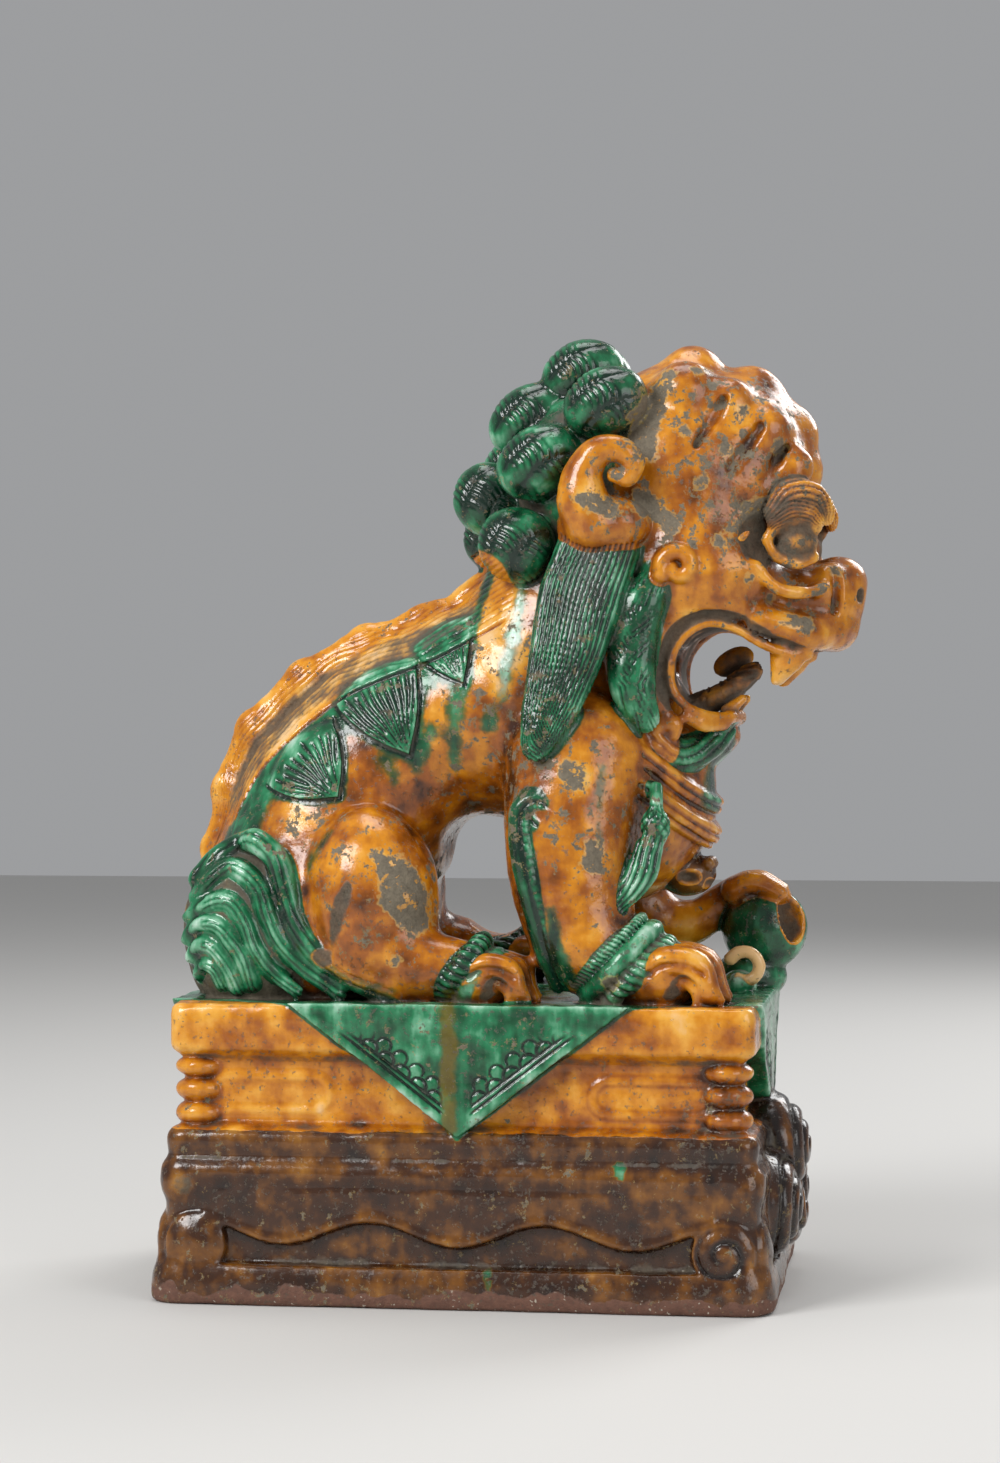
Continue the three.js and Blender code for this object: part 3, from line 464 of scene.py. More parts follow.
def raisedForeleg(clay, side):
    clay.add(rope([(50, side * 34, 236, 32), (56, side * 40, 202, 25), (64, side * 44, 172, 17),
                   (80, side * 44, 160, 13), (95, side * 43, 162, 10), (107, side * 42, 171, 8.5),
                   (116, side * 41, 176, 8)]), 6, "amber")


def ballUnderPaw(clay, side):
    clay.add(egg((119, side * 40, 136), (17, 17, 12)), 4, "bottle")
    clay.add(ball((125.5, side * 40, 158.5), 20), 2, "bottle")
    # a hollow cut in the ball, painted dark as its shade
    clay.cut(egg((139, side * 29, 163.5), (11, 8, 11), (0, 0, side * -40)), 0.6, "hollowShade")
    for toe in (-1.2, -0.4, 0.4, 1.2):
        clay.add(rope([(112, side * 42 + toe * 9, 176, 6.5), (122, side * 41 + toe * 10, 180, 5.4),
                       (133, side * 40 + toe * 10, 175.5, 4)]), 2, "amber")
    ribbonEnd = spiral((119, side * -2, 143), 150, -0.75, 7.5, 6, 3.0, 2.6, count=8)
    clay.add(rope(ribbonEnd), 1.2, "cream")
    clay.add(egg((116, side * 8, 134), (8, 12, 7)), 3, "teal")


def elbowFlame(clay, side):
    curl = spiral((33, side * 66, 213), 195, -0.95, 8.5, 3.5, 5.2, 4, count=9)
    stem = [(41, side * 58, 139, 4.6), (36.5, side * 63, 152, 5.2), (31.5, side * 67, 172, 5.6),
            (27, side * 68, 192, 5.8)]

    def notched(along, across):
        rim = line(across, -0.55, 0.5)
        return 0.5 * rim * (1 - groove(along / 3.6)) - 0.6 * line(across, -0.1, 0.3)

    clay.add(rope(stem + curl, marks=notched), 1.5, "bottle")


# The head

def skull(clay):
    clay.add(egg((90, 0, 358), (52, 50, 60)), 10, "amber")
    clay.add(egg((117, 0, 371), (33, 40, 40)), 10, "amber")
    clay.addPair(lambda s: egg((98, s * 26, 322), (36, 28, 30)), 10, "amber")
    for x, y, z, r in ((95, 0, 411, 15), (122, 0, 401, 15), (138, 0, 384, 14), (142, 0, 368, 12)):
        clay.add(ball((x, y, z), r), 6, "amber")
    for x, y, z, r in ((94, 27, 401, 15), (113, 28, 396, 12), (130, 27, 384, 12), (141, 24, 368, 10)):
        clay.addPair(lambda s: ball((x, s * y, z), r), 5, "amber")
    # the temple's furrow, and the fold under it that runs to the corner of the eye
    clay.cutPair(lambda s: rope([(114, s * 55, 336, 3), (123, s * 53.5, 345, 4.2),
                                 (133, s * 48.5, 355, 3.2)]), 4)
    clay.addPair(lambda s: rope([(121, s * 50, 335, 2.2), (128, s * 47.5, 340, 3.0),
                                 (135, s * 43.5, 345, 2.4)]), 3)
    # shallow furrows between the lumps of the crown
    for low, high in (((100, 44, 376), (112, 37, 397)), ((116, 44, 366), (128, 36, 385)),
                      ((131, 39, 361), (138, 29, 376))):
        clay.cutPair(lambda s: rope([(low[0], s * low[1], low[2], 1.4),
                                     (high[0], s * high[1], high[2], 2.0)]), 4)


def muzzle(clay):
    clay.add(rope([(92, 0, 312, 32), (120, 0, 309, 30), (148, 0, 309, 25)],
                  flat=(0, 0, 1), share=0.72), 9)
    clay.add(egg((162, 0, 318), (12.5, 15, 11.5)), 4)
    clay.addPair(lambda s: ball((158, s * 13, 317), 8.5), 3)
    # the nostrils are painted dark as their shade
    clay.cutPair(lambda s: ball((171, s * 8.5, 311), 3.0), 1.5, "hollowShade")
    clay.add(egg((158, 0, 297), (12.5, 15, 11)), 4)
    clay.addPair(lambda s: rope([(157, s * 10, 296, 9), (146, s * 27, 294, 8), (128, s * 34, 299, 7)]), 5)
    # a furrow behind the bulb of the nose, and a dip in the bridge between it and the eyes
    clay.cutPair(lambda s: rope([(158, s * 20.5, 327, 1.8), (161, s * 20, 316, 2.2),
                                 (160, s * 19, 304, 1.6)]), 2.5)
    clay.cut(rope([(152, -17, 333, 3), (153, 0, 335.5, 3.6), (152, 17, 333, 3)]), 5)


def eyes(clay):
    # the socket behind the eye and the trough under it are painted dark, as shade with dirt
    clay.cutPair(lambda s: egg((132, s * 42, 335), (11, 9, 12)), 5, "crease")
    clay.addPair(lambda s: egg((143, s * 27, 334.5), (10.2, 10.6, 9.8)), 1.0, "eye")
    # the trough under the ball, the lids that hug it and the cheek's edge below
    clay.cutPair(lambda s: rope([(130, s * 41, 330, 3.2), (136, s * 40, 321.5, 3.4),
                                 (146, s * 35.5, 318.5, 3.2), (154, s * 27, 321, 2.4)]), 2, "crease")
    clay.addPair(lambda s: rope([(131, s * 36.5, 334, 2.4), (135.5, s * 35.5, 327.5, 3.0),
                                 (144, s * 33.5, 324.5, 3.0), (152, s * 28.5, 327.5, 2.2)]), 2.5, "brow")
    clay.addPair(lambda s: rope([(131, s * 36.5, 336, 2.4), (136.5, s * 36, 342, 3.2),
                                 (146, s * 34, 344, 3.2), (153, s * 28.5, 340.5, 2.2)]), 2.5, "brow")
    clay.addPair(lambda s: rope([(127, s * 43, 323, 1.8), (136, s * 40.5, 313.5, 2.8),
                                 (147, s * 34, 311.5, 2.8), (156, s * 25, 314, 1.8)]), 6)


def brow(clay):
    def combed(along, across):
        return -1.2 * groove(across * 2.2 + 0.35 * np.sin(along / 5) + 0.2)

    clay.addPair(lambda s: rope([(133, s * 38, 346, 3.6), (141, s * 37, 355, 6.6), (150, s * 32, 355, 6.4),
                                 (156.5, s * 26, 349, 4.2), (157.5, s * 25, 344, 2.6)],
                                steps=6, marks=combed), 4, "brow")
    clay.addPair(lambda s: rope([(134, s * 38.5, 343, 2.6), (142, s * 38.5, 348.5, 4.0),
                                 (149.5, s * 34.5, 347.5, 3.6), (154, s * 30, 343.5, 2.2)],
                                steps=6, marks=combed), 2.5, "brow")


mouthLine = {
    # the edge of the mouth, from the lower lip round its corner to the upper lip: x, y, z
    "edge": [(113, 20, 257.5), (104, 31, 258), (96, 38.5, 262), (91, 41.5, 268),
             (89.5, 42.5, 276), (91, 42.5, 285), (97, 42.5, 293), (106, 42, 297.5),
             (117, 39.5, 294.8), (127, 36, 289), (137, 31, 285), (148, 24, 284)],
    "middle": (112, 276),   # the lines outside it are spread out from here
    "rim": 2.3,             # radius of its rolled rim
    "furrow": 2.3,          # and of the furrow outside that
}


def mouth(clay):
    clay.add(rope([(76, 0, 260, 28), (88, 0, 251, 24), (97, 0, 248, 20)],
                  flat=(0, 0, 1), share=0.58), 8)
    clay.addPair(lambda s: egg((78, s * 30, 285), (17, 20, 30)), 8)
    for y in range(-60, 61, 20):
        clay.cut(rope([(109, y, 277.6, 20), (126, y, 276, 17.5), (150, y, 267, 19), (172, y, 260, 22)],
                      flat=(0, 1, 0), share=1.6), 2, "mouthBrown")

    def spread(side, out, lift, radius, first, last):
        cx, cz = mouthLine["middle"]
        points = []
        for x, y, z in mouthLine["edge"][first:last]:
            away = math.hypot(x - cx, z - cz)
            points.append((x + (x - cx) / away * out, side * (y + lift), z + (z - cz) / away * out, radius))
        return points

    rim, furrow = mouthLine["rim"], mouthLine["furrow"]
    clay.addPair(lambda s: rope(spread(s, rim + 2 * furrow + 3.0, 0.5, 3.2, 2, 9)), 5)
    clay.addPair(lambda s: rope(spread(s, 0.4 * rim, 0, rim, 0, 12)), 1.2)
    # the furrow is painted dark, as shade with dirt
    clay.cutPair(lambda s: rope(spread(s, rim + furrow, 3.0, furrow, 1, 10)), 1.2, "crease")
    lip = mouthLine["edge"][0]
    clay.add(rope([(lip[0], -lip[1], lip[2] - 1, 3.2), (116, 0, 256.5, 3.6),
                   (lip[0], lip[1], lip[2] - 1, 3.2)]), 1.2)
    clay.addPair(lambda s: rope([(111, s * 21, 253.5, 3), (103, s * 30.5, 253, 3.2),
                                 (95, s * 37.5, 256.5, 2.6)]), 2)
    # the fang, broad at its root and bent back
    clay.addPair(lambda s: rope([(146, s * 23.5, 288, 5.5), (141, s * 25.5, 282, 5.6),
                                 (136, s * 25.5, 274, 2.8)]), 1.2, "tooth")
    clay.addPair(lambda s: rope([(137, s * 27, 288, 5.5), (136.5, s * 26.5, 281, 4.6),
                                 (134.5, s * 25.5, 273, 2.4)]), 1.2, "tooth")

    def rough(along, across):
        return 0.6 * np.sin(along * 1.7) * np.cos(across * 9) - 0.9 * groove(across / 2)

    clay.add(rope([(92, 0, 260, 13), (106, 0, 265, 15), (117, 0, 273, 12), (120, 0, 278, 7)],
                  flat=(-0.5, 0, 0.85), share=0.4, marks=rough, facing=(-0.5, 0, 0.85)), 1.5, "mouthBrown")
    clay.add(egg((113, 12, 282), (10, 5, 6), (0, -25, 0)), 2, "mouthBrown")
    clay.addPair(lambda s: rope([(112, s * 15, 259, 3.4), (119, s * 13, 265, 2)]), 1, "mouthBrown")


def beard(clay):
    def combed(along, across):
        return -0.9 * groove(across * 1.6 + 0.2 * np.sin(along / 6))

    clay.addPair(lambda s: rope([(110, s * 13, 251, 6), (105, s * 18, 245, 7), (97, s * 25, 240.5, 7.5),
                                 (89, s * 32, 240.5, 7.5), (83, s * 37, 245, 6.5)], marks=combed), 1.5,
                                 "teal")
    clay.addPair(lambda s: rope([(86, s * 35, 242, 6.0), (82, s * 38, 247, 5.6), (83.5, s * 39, 253, 5.0),
                                 (90, s * 39, 253, 4.2), (90, s * 39, 248.5, 3.0)]), 1.2, "amber")
    clay.add(egg((103, 0, 245), (9, 16, 9)), 4, "teal")


def ear(clay):
    clay.addPair(lambda s: egg((60, s * 51, 342), (20.5, 15, 13)), 3, "amber")
    clay.addPair(lambda s: rope([(56, s * 56, 342, 13), (51.5, s * 58, 352, 11.5), (52, s * 59, 364, 8.5),
                                 (58.5, s * 60, 373, 6.8), (68, s * 60, 373.5, 6), (74, s * 59, 368, 5.5),
                                 (71, s * 59, 361.5, 4.6), (65.5, s * 59, 362.5, 3.6)], steps=6), 1.5,
                                 "amber")


locks = {
    "longLines": 17,
    "longDepth": 1.5,
    "shortPitch": 3.4,      # of the slanting strokes on the short lock
    "shortDepth": 0.9,
}


def combedLocks(clay):
    def combedDown(along, across):
        wander = 0.16 * np.sin(along / 17 + across * 2) + 0.07 * np.sin(along / 6 + across * 5)
        combed = groove(across * locks["longLines"] / 2 + wander)
        return -locks["longDepth"] * combed * smooth((1.05 - np.abs(across)) * 4)

    clay.addPair(lambda s: rope([(57.5, s * 49, 331, 18), (50, s * 55, 308, 19), (44.5, s * 61, 283.5, 16.5),
                                 (39, s * 65.5, 264, 13.5), (34.5, s * 69.5, 250, 9.5),
                                 (32, s * 71, 243, 6.5)],
                                flat=(0, 1, 0), share=0.58, steps=6, marks=combedDown), 1.5, "lock")

    def slanting(along, across):
        broken = 0.5 + 0.5 * np.sin(along / 2.3 + across * 7)
        return (-locks["shortDepth"] * broken * groove((along + np.abs(across) * 14) / locks["shortPitch"])
                * smooth((0.8 - np.abs(across)) * 5))

    clay.addPair(lambda s: rope([(85, s * 47, 321, 6), (77, s * 50, 306, 10), (72.5, s * 50, 290, 11),
                                 (73, s * 52, 270, 10.5), (77.5, s * 50, 256, 7)],
                                flat=(0, 1, 0), share=0.7, steps=6, marks=slanting), 1.5, "lock")
    curl = spiral((93, 53.5, 322.5), 205, -1.05, 8.2, 3.0, 4.0, 3.0, count=10)
    # the hollow inside the curl is painted dark, as shade with dirt
    clay.cutPair(lambda s: egg((94, s * 57, 321.5), (6.5, 5, 6.5)), 1.5, "crease")
    clay.addPair(lambda s: rope([(x, s * y, z, r) for x, y, z, r in curl]), 1.0)


maneRows = [
    {"middle": (38, 402), "inner": (47, 17, 411), "outer": (60, 43, 396), "size": (19.5, 15, 16),
     "tilt": -25},
    {"middle": (16, 372), "inner": (23, 17, 391), "outer": (30, 43, 370), "size": (20, 15.5, 16),
     "tilt": -32},
    {"middle": (5, 338), "inner": (5, 17, 355), "outer": (20, 42, 333), "size": (17, 14.5, 18), "tilt": -50},
]


curls = {
    "bands": 1.25,      # rows of fur across half a curl
    "bandDepth": 1.0,
    "strokes": 6.0,     # combed strokes along half a curl
    "strokeDepth": 0.9,
}


def curlMarks(p, q, r):
    # rows of fur along the curl, bent like a shell's, each combed across in short strokes
    band = (r + 0.35 * p * p - 0.12 * p) * curls["bands"] + 0.3
    within = band - np.floor(band)
    stroke = p * curls["strokes"] + 0.5 * np.floor(band) + 2.2 * (within - 0.5) ** 2 + 0.5 * q
    faded = smooth((0.72 - np.abs(p + 0.08)) * 4) * (0.55 + 0.45 * np.sin(4 * p + 3 * r + 1))
    combed = groove(stroke) * faded
    return -curls["bandDepth"] * groove(band) * smooth((0.9 - np.abs(p)) * 4) - curls["strokeDepth"] * combed


def mane(clay):
    clay.add(egg((46, 0, 365), (36, 46, 46)), 8, "curlGap")
    for row in maneRows:
        for x, y, z in (row["inner"], row["outer"]):
            clay.addPair(lambda s: egg((x, s * y, z), row["size"], (0, row["tilt"], 0), curlMarks), 2.5,
                         "curl")
        x, z = row["middle"]
        clay.add(egg((x, 0, z), [r * 0.9 for r in row["size"]], (0, row["tilt"], 0), curlMarks), 2.5, "curl")


def collar(clay):
    straps = [
        [(40, 48, 249), (54, 50, 241), (67, 48, 230), (80, 43, 221), (94, 28, 210), (103, 0, 203)],
        [(56, 47, 253), (68, 46, 244), (81, 41, 234), (94, 29, 223), (104, 0, 216)],
    ]

    def edged(along, across):
        return 0.5 * line(np.abs(across), 0.75, 0.3) - 0.9 * line(np.abs(across), 0.38, 0.22)

    for strap in straps:
        near = [(x, -y, z, 6) for x, y, z in strap]
        far = [(x, y, z, 6) for x, y, z in reversed(strap[:-1])]
        clay.add(rope(near + far, flat=(0.6, 0, -0.3), share=0.8, marks=edged), 1.2)
    clay.add(egg((93, 0, 185), (13, 13, 10)), 2, "treacle")
    for y in (-8, 0, 8):
        clay.add(ball((103, y, 190), 3.2), 1, "treacle")
    # its holes and slot are painted dark as their shade
    clay.cutPair(lambda s: egg((95, s * 13, 184), (5, 4, 2.6)), 1, "hollowShade")
    clay.cut(rope([(103, -7, 181, 1.8), (106, 0, 180, 1.8), (103, 7, 181, 1.8)]), 1, "hollowShade")


def tassels(clay):
    def netted(p, q, r):
        angle = np.arctan2(q, p) * 8 / (2 * np.pi)
        return -0.8 * np.maximum(groove(angle + r * 1.6), groove(angle - r * 1.6))

    def stranded(along, across):
        return -1.2 * groove(across * 2.0 + 0.5 + 0.1 * np.sin(along / 4))

    clay.addPair(lambda s: rope([(83, s * 49, 225, 3.6), (83.5, s * 54, 219, 3.2),
                                 (83.5, s * 54, 214, 3.4)]), 1.2, "teal")
    clay.addPair(lambda s: egg((83.3, s * 55, 208), (7, 6, 9), (0, 0, 0), netted), 1, "teal")
    clay.addPair(lambda s: rope([(80.5, s * 57, 199, 6.5), (78, s * 59, 189, 7), (73, s * 61, 180, 5.5),
                                 (68.5, s * 62, 174, 3.2)], flat=(0, 1, 0), share=0.75, marks=stranded), 1,
                                 "teal")


fanWork = {
    "height": 2.4,
    "spokes": 12,
    "spokeDepth": 1.2,
    "edgeDepth": 1.5,
    "fans": [
        {"foot": (-57, 219), "reach": 38, "start": 92, "end": 178},
        {"foot": (-26, 237), "reach": 47, "start": 84, "end": 152},
        {"foot": (-1.5, 269), "reach": 34, "start": 86, "end": 152},
    ],
}


def fanOnFlank(fan):
    # a fan of fur spread from its foot between two angles; the place on it is the distance from
    # the foot, the angle from 0 to 1 and the distance in from its edge
    footX, footZ = fan["foot"]
    reach = fan["reach"]
    half = math.radians((fan["end"] - fan["start"]) / 2)
    middle = math.radians((fan["start"] + fan["end"]) / 2)

    def measure(x, y, z, tracked=False):
        radius = np.hypot(x - footX, z - footZ)
        off = np.arctan2(z - footZ, x - footX) - middle
        off = (off + np.pi) % (2 * np.pi) - np.pi
        swollen = half * (1.28 - 0.42 * np.clip(radius / reach, 0, 1.2) ** 1.5)
        fromSide = (swollen - np.abs(off)) * radius
        fromEdge = np.minimum(reach - radius, fromSide)
        onFlank = np.abs(y) > 12
        return (np.where(onFlank, -fromEdge, modelling["far"]),
                (radius, off / (2 * half) + 0.5, fromSide, fromEdge))

    def marks(radius, turn, fromSide, fromEdge):
        spoke = turn * fanWork["spokes"] + 0.14 * np.sin(radius / 4 + turn * 5)
        number = np.floor(spoke + 0.5)
        first = 5 + 8 * (number % 2) + 3 * np.sin(number * 2.3)
        last = reach - 3 - 4 * np.abs(np.sin(number * 1.9))
        drawn = smooth((radius - first) / 3) * smooth((last - radius) / 3) * smooth((fromEdge - 2.4) / 2)
        return -fanWork["spokeDepth"] * groove(spoke) * drawn - fanWork["edgeDepth"] * line(fromSide, 1.2,
                                                                                            1.3)

    form = Form((footX - reach - 4, -80, footZ - 6), (footX + 12, 80, footZ + reach + 4), measure, marks)
    form.through = True
    return form


def fans(clay):
    for fan in fanWork["fans"]:
        form = fanOnFlank(fan)

        def height(x, y, z, form=form):
            distance, _ = form.measure(x, y, z)
            return fanWork["height"] * smooth(-distance / 3) * smooth((np.abs(y) - 14) / 10)

        clay.lift(form.low, form.high, height)


tailWork = {
    "backEnds": -117,       # the strokes on its back lie behind this
    "lobe": (-98, 44, 160),
    "lobeRadii": (33, 27, 43),
    # centre lines of the wavy ridges, from the spine over the lobe and forward along the table
    "ridges": [
        [(-121, 184), (-111, 195), (-102, 200), (-93, 201), (-85, 194), (-80, 180), (-76, 165), (-66, 152),
         (-50, 142), (-33, 134)],
        [(-122, 176), (-114, 185), (-106, 190), (-99, 187), (-92, 180), (-87, 168), (-81, 156), (-70, 144),
         (-56, 135)],
        [(-126, 167), (-119, 172), (-111, 175), (-104, 174), (-98, 166), (-93, 154), (-85, 143), (-75, 135)],
        [(-127, 157), (-122, 163), (-115, 165), (-109, 163), (-103, 156), (-98, 148), (-95, 138)],
        [(-125, 149), (-120, 155), (-114, 155), (-109, 150), (-105, 143), (-102, 136)],
        [(-122, 141), (-117, 146), (-112, 144), (-109, 138)],
    ],
    "widths": [5.6, 4.2, 3.5, 3.3, 2.9, 2.6],
}


def tail(clay):
    at, radii = tailWork["lobe"], tailWork["lobeRadii"]
    clay.add(egg((-104, 0, 158), (29, 58, 36)), 8, "green")
    clay.addPair(lambda s: egg((at[0], s * at[1], at[2]), radii), 5, "tailGap")

    def combed(along, across):
        stroke = across * 1.4 + 0.5 + 0.25 * np.sin(along / 8)
        return -0.7 * groove(stroke) * smooth((0.8 - np.abs(across)) * 6)

    for ridge, width in zip(tailWork["ridges"], tailWork["widths"]):
        def laid(side):
            points = []
            for step, (x, z) in enumerate(ridge):
                spread = ((x - at[0]) / radii[0]) ** 2 + ((z - at[2]) / radii[2]) ** 2
                onLobe = at[1] + radii[1] * math.sqrt(max(0, 1 - spread))
                y = onLobe if step < 3 else max(onLobe, 64 + (step - 3) * 0.7)
                points.append((x, side * y, z, width))
            return points
        clay.addPair(lambda s: rope(laid(s), marks=combed, steps=6), 1.5, "green")


def tailBack(clay):
    # the back of the tail, combed down in wavy strokes
    def behind(x, y, z, tracked=False):
        return x - tailWork["backEnds"], (x, y, z)

    def strokes(x, y, z):
        return -0.9 * groove(y / 6.5 + 0.35 * np.sin(z / 9)) * smooth((206 - z) / 10)

    form = Form((-150, -84, tableTop), (-115, 84, 204), behind, strokes)
    form.through = True
    clay.tool(form)


def modelLion(clay):
    torso(clay)
    tail(clay)
    spineCrest(clay)
    fans(clay)
    hindLeg(clay, -1, 0)
    hindLeg(clay, 1, 15)
    underBelly(clay)
    standingForeleg(clay, -1)
    raisedForeleg(clay, 1)
    ballUnderPaw(clay, 1)
    elbowFlame(clay, -1)
    skull(clay)
    muzzle(clay)
    mouth(clay)
    eyes(clay)
    brow(clay)
    mane(clay)
    collar(clay)
    beard(clay)
    tassels(clay)
    combedLocks(clay)
    ear(clay)
    for fan in fanWork["fans"]:
        clay.tool(fanOnFlank(fan))
    for side in (-1, 1):
        clay.tool(crestBand(side))
    tailBack(clay)
    # everything below the table's top is cut away, and the plinth fills it
    clay.field[:, :, clay.axes[2] < tableTop - 3] = modelling["far"]


# The plinth

def profilePoints():
    flare = plinth["baseFlare"]
    # how far out past the table's edge, and the height, from the ground up
    return [(flare - 1.0, 0), (flare, 3), (flare - 0.5, 12), (flare - 2.5, 18), (flare - 6.5, 23),
            (flare - 6.8, 40), (flare - 5.6, 50), (flare - 4.2, 56), (flare - 4.4, 59.5), (flare - 7, 62.5),
            (flare - 9, 64), (flare - 7.4, 66), (flare - 7, 73), (flare - 9.5, 76), (-7.5, 78),
            (-7.5, 105), (-3.5, 108.5), (0.2, 110.5), (0.6, 127), (-1.2, tableTop)]


def polygonDistance(px, pz, corners):
    # signed distance from points to a closed outline, negative inside
    best = np.full(np.broadcast_shapes(px.shape, pz.shape), 1e9)
    inside = np.zeros(best.shape, bool)
    for (ax, az), (bx, bz) in zip(corners, corners[1:] + corners[:1]):
        ex, ez = bx - ax, bz - az
        t = np.clip(((px - ax) * ex + (pz - az) * ez) / (ex * ex + ez * ez), 0, 1)
        best = np.minimum(best, (px - ax - ex * t) ** 2 + (pz - az - ez * t) ** 2)
        crosses = (az > pz) != (bz > pz)
        if abs(ez) > 1e-9:
            inside ^= crosses & (px < ex * (pz - az) / ez + ax)
    return np.where(inside, -1, 1) * np.sqrt(best)


def plinthBody(clay):
    x, y, z = [axis.astype(float) for axis in clay.axes]
    corner = 6.0
    qx = np.abs(x)[:, None] - (plinth["tableLength"] / 2 - corner)
    qy = np.abs(y)[None, :] - (plinth["tableDepth"] / 2 - corner)
    out = (np.hypot(np.maximum(qx, 0), np.maximum(qy, 0)) + np.minimum(np.maximum(qx, qy), 0) - corner)
    wobble = (0.5 * np.sin(x / 31 + 1)[:, None] + 0.4 * np.sin(y / 23)[None, :]
              + 0.3 * np.sin((x[:, None] + y[None, :]) / 13))
    outAxis = np.arange(-60, 40, 0.5)
    outline = profilePoints() + [(-80, tableTop), (-80, 0)]
    section = polygonDistance(outAxis[:, None], z[None, :], outline)
    for _ in range(3):      # the edges are worn soft
        section[1:-1] = (section[:-2] + section[1:-1] * 2 + section[2:]) / 4
        section[:, 1:-1] = (section[:, :-2] + section[:, 1:-1] * 2 + section[:, 2:]) / 4
    clipped = np.clip(out + wobble * 0.6, -59, 39)
    for k, height in enumerate(z):
        if height > tableTop + 8:
            break
        d = np.interp(clipped, outAxis, section[:, k]).astype(np.float32)
        now = clay.field[:, :, k]
        clay.field[:, :, k] = softMin(now, d, 1.5)


sides = [
    # which way it faces, how far out its face is, its length, the cloth's width and the apron's waves
    {"turn": 0, "out": plinth["tableDepth"] / 2, "length": plinth["tableLength"], "cloth": 148, "waves": 3},
    {"turn": 180, "out": plinth["tableDepth"] / 2, "length": plinth["tableLength"], "cloth": 148, "waves": 3},
    {"turn": 90, "out": plinth["tableLength"] / 2, "length": plinth["tableDepth"], "cloth": 138, "waves": 2},
    {"turn": 270, "out": plinth["tableLength"] / 2, "length": plinth["tableDepth"], "cloth": 138, "waves": 2},
]


def onSide(side, low, high, distance, marks=None):
    # a form given in a side's own frame: along it, out from the plinth's middle, and up
    a = math.radians(side["turn"])
    c, s = round(math.cos(a)), round(math.sin(a))
    corners = np.array([(u * c + v * s, u * s - v * c) for u in (low[0], high[0]) for v in (low[1], high[1])])

    def measure(x, y, z, tracked=False):
        place = (x * c + y * s, x * s - y * c, z)
        return distance(*place), place

    return Form((*corners.min(axis=0), low[2]), (*corners.max(axis=0), high[2]), measure, marks)


cloth = {
    "thickness": 3.0,
    "loop": 9.0,        # pitch of the loops pressed in along its edges
    "border": 7.0,      # how far in from the edge their line is
}


def clothPoint(clay, side):
    half, top, tip, out = side["cloth"] / 2, tableTop - 0.5, plinth["clothTip"], side["out"]
    drop = top - tip
    slope = math.hypot(half, drop)

    def inFromEdge(u, z):
        return ((half - np.abs(u)) * drop - (top - z) * half) / slope

    def distance(u, v, z):
        # distance inward from the slanting edges
        ripple = 0.6 * np.sin(u / 17 + 0.6) * smooth((top - z) / 30)
        flat = np.maximum(-inFromEdge(u, z), z - top - 1)
        return np.maximum(np.maximum(flat, v - out - cloth["thickness"] - ripple), out - 9 - v)

    def marks(u, v, z):
        inward = inFromEdge(u, z)
        alongEdge = (np.abs(u) * half + (z - tip) * drop) / slope
        pitch, border = cloth["loop"], cloth["border"]
        lowEnough = smooth((top - 10 - z) / 6) * smooth((np.abs(u) - 5) / 3)
        lines = line(inward, border, 0.9) + line(inward, border - 2.4, 0.8)
        ringed = np.hypot((alongEdge + pitch / 2) % pitch - pitch / 2, inward - border)
        loops = line(ringed, pitch * 0.42, 0.9) * (inward > border)
        inner = line(np.hypot((alongEdge + pitch) % pitch - pitch / 2, inward - border - 5), pitch * 0.36,
                     0.8)
        inner = inner * (inward > border + 4.5) * smooth((26 - inward) / 3)
        return -1.1 * np.maximum(np.maximum(np.clip(lines, 0, 1), loops), 0.8 * inner) * lowEnough

    form = onSide(side, (-half - 2, out - 9, tip - 2), (half + 2, out + 5, top + 2), distance, marks)
    clay.add(form, 1.0, "cloth")


def waistPanels(clay, side):
    # a raised cartouche on the waist at each side of the cloth
    out, half = side["out"] - 7.5, side["length"] / 2
    for end in (-1, 1):
        middle = end * (half - 44)

        def distance(u, v, z):
            flat = np.maximum(np.abs(u - middle) - 19, 0)
            edge = np.abs(np.hypot(flat, z - 91) - 7.5)
            return np.maximum(edge - 1.3, np.abs(v - out) - 0.9)

        clay.add(onSide(side, (middle - 29, out - 3, 79), (middle + 29, out + 3, 103), distance), 1.5)


